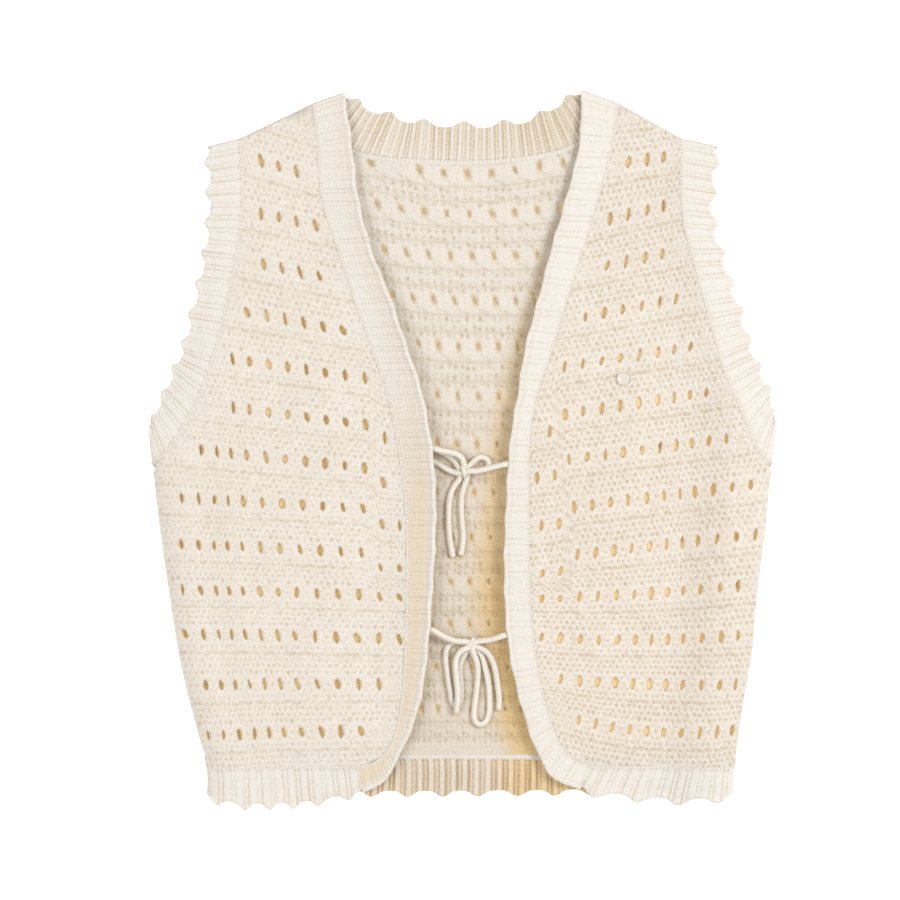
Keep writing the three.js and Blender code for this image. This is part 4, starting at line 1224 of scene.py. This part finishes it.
def cloth(name, light, dark, stitch_bump, plies, shade, thin):
    """Cotton knit: paler on top of the stitches, with darker, warmer painted shade down between them,
    and a soft fuzz. Hidden faces get a painted golden glow and shaded parts a painted shade, and both
    give off a little light, for what comes through the thin cloth or off the cloth beside."""
    material = new_material(name)
    tree = material.node_tree
    height = yarn(tree, plies)
    fuzz = noise(tree, 750.0, Detail=3.0, Roughness=0.7)
    patch = noise(tree, 28.0, Detail=3.0, Roughness=0.55)
    names = ("deep", "tint", "shade")
    deep, tint, painted_shade = (node(tree, "Attribute", attribute_name=n).outputs["Fac"] for n in names)
    # Painted shade in the recesses: darker where the yarn is low and where the knit is deep
    low = maths(tree, "SUBTRACT", 1.0, height)
    factor = maths(tree, "MULTIPLY_ADD", low, shade, maths(tree, "MULTIPLY", deep, 0.85))
    for grain, much in ((fuzz, 1.8), (patch, 0.3)):
        factor = maths(tree, "MULTIPLY_ADD", maths(tree, "SUBTRACT", grain, 0.5), much, factor)
    pale, low_down = (blend_colour(tree, painted_shade, *pair) for pair in ((light, SHADE_TAN), (dark, SHADE_DARK_TAN)))
    gold = blend_colour(tree, maths(tree, "MULTIPLY_ADD", tint, 2.0, -2.8), GLOW_GOLD, PALE_GLOW_GOLD)
    colour = blend_colour(tree, tint, blend_colour(tree, factor, pale, low_down), gold)
    # Painted glow: the golden glow over 0.6 and the painted shade over 0.3 give off light of their colour
    glow, lit = (
        maths(tree, "MAXIMUM", maths(tree, "SUBTRACT", value, least), 0.0)
        for value, least in ((tint, 0.6), (painted_shade, 0.3))
    )
    relief = maths(tree, "MULTIPLY_ADD", fuzz, 0.9, height)
    bumped = node(tree, "Bump", {"Height": relief, "Strength": stitch_bump, "Distance": 0.0007})
    surface = principled(
        tree, Base_Color=colour, Roughness=0.9, Specular_IOR_Level=0.2, Sheen_Weight=0.25,
        Sheen_Roughness=0.6, Emission_Color=colour, Normal=bumped.outputs[0],
        Emission_Strength=maths(tree, "MULTIPLY_ADD", lit, 0.4, maths(tree, "MULTIPLY", glow, 0.38)),
    )
    behind = node(tree, "BsdfTranslucent", {"Color": colour, "Normal": bumped.outputs[0]})
    share = maths(tree, "MULTIPLY_ADD", tint, 0.25, thin)
    both = node(tree, "MixShader", {0: share, 1: surface.outputs[0], 2: behind.outputs[0]})
    node(tree, "OutputMaterial", {0: both.outputs[0]})
    return material


def pearl():
    material = new_material("pearl")
    tree = material.node_tree
    cloud = noise(tree, 260.0, Detail=2.0, Distortion=1.5)
    colour = blend_colour(tree, cloud, (0.6, 0.565, 0.515), (0.56, 0.53, 0.485))
    surface = principled(
        tree, Base_Color=colour, Roughness=0.35, Specular_IOR_Level=0.4, Coat_Weight=0.2,
        Coat_Roughness=0.25, Thin_Film_Thickness=250.0,
    )
    node(tree, "OutputMaterial", {0: surface.outputs[0]})
    return material


def floor_white():
    material = new_material("floor_white")
    tree = material.node_tree
    surface = principled(
        tree, Base_Color=(0.96, 0.96, 0.96, 1), Roughness=0.9, Emission_Color=(1, 1, 1, 1),
        Emission_Strength=0.45,
    )
    node(tree, "OutputMaterial", {0: surface.outputs[0]})
    return material


# Colours of the painted golden glow and, after them, of the painted shade
GLOW_GOLD = (0.94, 0.77, 0.46)
SHADE_TAN = (0.6, 0.445, 0.235)  # where the cloth lies in shade
SHADE_DARK_TAN = (0.4, 0.28, 0.13)  # and down between its stitches
PALE_GLOW_GOLD = (0.89, 0.79, 0.65)  # in the back's eyelets


# ---- the vest


def finish_piece(obj, material, slot, *nodes):
    obj.data.materials.append(material)
    if nodes:
        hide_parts(*nodes)
    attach(obj, "root")
    return obj


def make_cloths():
    # light is the colour on top of the stitches and dark the painted shade down between them
    return {
        "knit": cloth("knit_cotton", (0.79, 0.77, 0.727), (0.57, 0.475, 0.34), 0.5, 1.0, 0.08, 0.2),
        "rib": cloth("rib_cotton", (0.733, 0.709, 0.667), (0.59, 0.48, 0.33), 0.4, 0.6, 0.08, 0.08),
        "cord": cloth("cord_cotton", (0.775, 0.75, 0.695), (0.63, 0.545, 0.42), 0.4, 0.8, 0.12, 0.05),
    }


def corner_line(front):
    """x of the end of a front's hem, along the front band's first rib line."""
    row = {n: BANDS[front.name][n][0] for n in BANDS[front.name]}
    slant = (row["edge_x"] - row["seam_x"]) / (row["edge_y"] - row["y"])
    return lambda y: row["seam_x"] + slant * (y - row["y"]) + 0.6 * front.inward


def band_shade(xy, from_edge):
    """Painted shade of the right band, low down where it turns over, and none along its very edge."""
    low = smoothstep((90 - xy[:, 1]) / 160)
    return 0.4 * low * smoothstep((from_edge - 1.5) / 9) + 0.12 * bump(from_edge - 7, 4)


def neck_shade(xy, from_edge):
    """Painted shade of the back's neck rib, deeper towards the left shoulder, which shades it."""
    return 0.1 + 0.18 * smoothstep((xy[:, 0] - 10) / 60)


def back_hem_shade(xy, from_edge):
    """Painted shade of the back's hem, deeper where it goes behind the fronts."""
    return 0.28 + 0.6 * smoothstep((xy[:, 0] - 12) / 36) + 0.2 * smoothstep((-35 - xy[:, 0]) / 20)


HEM_TIPS = {
    "right": (0.055, 0.235, 0.39, 0.54, 0.70, 0.90),
    "left": (0.11, 0.40, 0.66, 0.91),
    "back": (0.035, 0.105, 0.175, 0.243, 0.311, 0.38, 0.448, 0.514, 0.592, 0.662, 0.731, 0.8, 0.868, 0.937),
}
# Each rib's scallops and their depth, the pitch of its ribs, how far they stand out, and its painted shade
RIB_LOOKS = {
    "armhole_front": (even_waves(22.4, 0.5), 5, 9.4, 1.1, None),
    "armhole_back": (even_waves(23.4, 0), 5, 9.4, 1.0, None),
    "band_right": (even_waves(26, 0), 0.8, 9.4, 0.75, band_shade),
    "band_left": (even_waves(26, 0), 0.8, 12.2, 0.75, None),
    "hem_right": (placed_waves(*HEM_TIPS["right"]), 5, 9.4, 1.2, None),
    "hem_left": (placed_waves(*HEM_TIPS["left"]), 5, 9.4, 1.2, None),
    "hem_back": (placed_waves(*HEM_TIPS["back"]), 5, 8.4, 2.6, back_hem_shade),
    "neck_back": (even_waves(28.9, 0.5), 5, 5.9, 1.9, neck_shade),
}


def add_ribs(rows, height, material):
    """Ribs from rows of (name, look, CAD node, rib lines, ends)."""
    for name, look, cad_node, line, ends in rows:
        finish_piece(rib(name, look, line, ends, height), material, "rib", cad_node)


def make_front(name, cloths):
    """A front with its ribs. Gives back the seams on it."""
    front = FRONTS[name]
    finish_piece(make_front_knit(name), cloths["knit"], "knit", f"front_{name}")
    hem_ends = (front.outline, corner_line(front))[:: front.inward]
    arm = (side_line(ARMS[name]), (UNDERARM_Y, front.shoulder[0]))
    band = (side_line(BANDS[name]), (HEM_SEAM_Y, front.shoulder[1]))
    hem = (hem_line(name, HEM_SEAM_Y, *hem_ends), (0, 1))
    ribs = [
        (f"armhole_front_{name}", "armhole_front", f"armhole_rib_front_{name}", *arm),
        (f"band_{name}", f"band_{name}", f"band_front_{name}", *band),
        (f"hem_front_{name}", f"hem_{name}", f"hem_rib_front_{name}", *hem),
    ]
    add_ribs(ribs, front.height, cloths["rib"])
    lines = {"arm": arm, "band": band, "hem": hem}
    seams = [seam(f"seam_{look}_{name}", look, *line, front.height) for look, line in lines.items()]
    seams += [side_seam(name), shoulder_seam(name)]
    return [finish_piece(obj, cloths["rib"], "rib") for obj in seams]


def make_back(cloths):
    """The back with its ribs. Gives back the seams on it."""
    finish_piece(make_back_knit(), cloths["knit"], "knit", "back_panel")
    neck = (neck_line, (BACK_NECK["x"][0], BACK_NECK["x"][-1]))
    hem = (hem_line("back", BACK_HEM_SEAM_Y, *(front.outline for front in FRONTS.values())), (0, 1))
    ribs = [
        ("neck_back", "neck_back", "neck_rib_back", *neck),
        ("hem_back", "hem_back", "hem_rib_back", *hem),
    ]
    for name, front in FRONTS.items():
        line, ends = side_line(ARMS[name], ARM_BACK_INSET), (UNDERARM_Y, front.shoulder[0])
        ribs.append((f"armhole_back_{name}", "armhole_back", f"armhole_rib_back_{name}", line, ends))
    add_ribs(ribs, back_height, cloths["rib"])
    lines = {"neck_back": neck, "hem_back": hem}
    seams = [seam(f"seam_{look}", look, *line, back_height) for look, line in lines.items()]
    return [finish_piece(obj, cloths["rib"], "rib") for obj in seams]


# Each sheet's flat width and length, its flat area where it is shaped, and what it lies on.
SHEETS = {
    "front_right_knit": (0.199, 0.490, 0.0653, "back_knit"),
    "front_left_knit": (0.188, 0.490, 0.0636, "back_knit"),
    "back_knit": (0.465, 0.482, 0.1804, "floor"),
    "armhole_front_right": (0.0247, 0.239, None, "armhole_back_right"),
    "armhole_front_left": (0.0247, 0.236, None, "armhole_back_left"),
    "armhole_back_right": (0.0207, 0.243, None, "floor"),
    "armhole_back_left": (0.0207, 0.240, None, "floor"),
    "band_right": (0.0225, 0.528, None, "back_knit"),
    "band_left": (0.0202, 0.529, None, "back_knit"),
    "hem_front_right": (0.122, 0.0257, None, "hem_back"),
    "hem_front_left": (0.114, 0.0238, None, "hem_back"),
    "neck_back": (0.219, 0.0297, None, "floor"),
    "hem_back": (0.395, 0.026, None, "floor"),
}


def declare_sheets(seams, disc):
    """Goes over each panel and rib in SHEETS with what is sewn on it, and declares nothing."""
    going = {
        "front_right_knit": seams["right"],
        "front_left_knit": [*seams["left"], disc],
        "back_knit": seams["back"],
    }
    for name, (width, length, area, under) in SHEETS.items():
        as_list(going.get(name, ()))


def make_ties(cloths):
    cords = {name: make_cord(name) for name in CORD_ROUTES}
    for name, (obj, _, _) in cords.items():
        nodes = [name.replace("cord", part) for part in ("tie", "loop", "tail")]
        finish_piece(obj, cloths["cord"], "cord", *nodes)
    knots = {name: finish_piece(make_knot(name), cloths["cord"], "cord", name) for name in KNOTS}


def make_camera():
    camera = link("camera", bpy.data.cameras.new("camera"))
    camera.data.sensor_width = 36.0
    camera.data.lens = 36.0 * 4.0 / 0.666  # a view 0.666 m wide from 4 m up
    camera.data.clip_end = 50.0
    camera.location = (-0.0078, 0.0, 4.0)
    bpy.context.scene.camera = camera


def area_light(name, place, size, watts):
    light = link(name, bpy.data.lights.new(name, "AREA"))
    light.data.shape = "DISK"
    light.data.size = size
    light.data.energy = watts
    light.data.color = (0.975, 0.985, 1.02)
    light.location = place
    light.rotation_euler = Vector(place).to_track_quat("Z", "Y").to_euler()


def make_studio():
    """Soft light from the upper right over a white floor that is lit from below, as on a light table."""
    scene = bpy.context.scene
    scene.view_settings.view_transform = "Standard"
    scene.view_settings.look = "None"
    scene.world = bpy.data.worlds.new("studio")
    scene.world.use_nodes = True
    sky = scene.world.node_tree.nodes["Background"]
    sky.inputs[0].default_value = (1.0, 0.95, 0.885, 1)
    sky.inputs[1].default_value = 0.69
    area_light("key", (1.15, 0.4, 1.9), 0.8, 29.5)
    area_light("fill", (-1.15, -0.2, 2.1), 1.2, 18)
    mesh = bpy.data.meshes.new("floor")
    mesh.from_pydata([(-6, -6, 0), (6, -6, 0), (6, 6, 0), (-6, 6, 0)], [], [(0, 1, 2, 3)])
    mesh.materials.append(floor_white())
    floor = link("floor", mesh)
    floor.location.z = -0.0003


make_camera()
CLOTHS = make_cloths()
make_ties(CLOTHS)
SEAMS = {"back": make_back(CLOTHS)}
for side in FRONTS:
    SEAMS[side] = make_front(side, CLOTHS)
PEARL_DISC = finish_piece(make_disc(FRONTS["left"].height), pearl(), "pearl", "disc")
declare_sheets(SEAMS, PEARL_DISC)
make_studio()
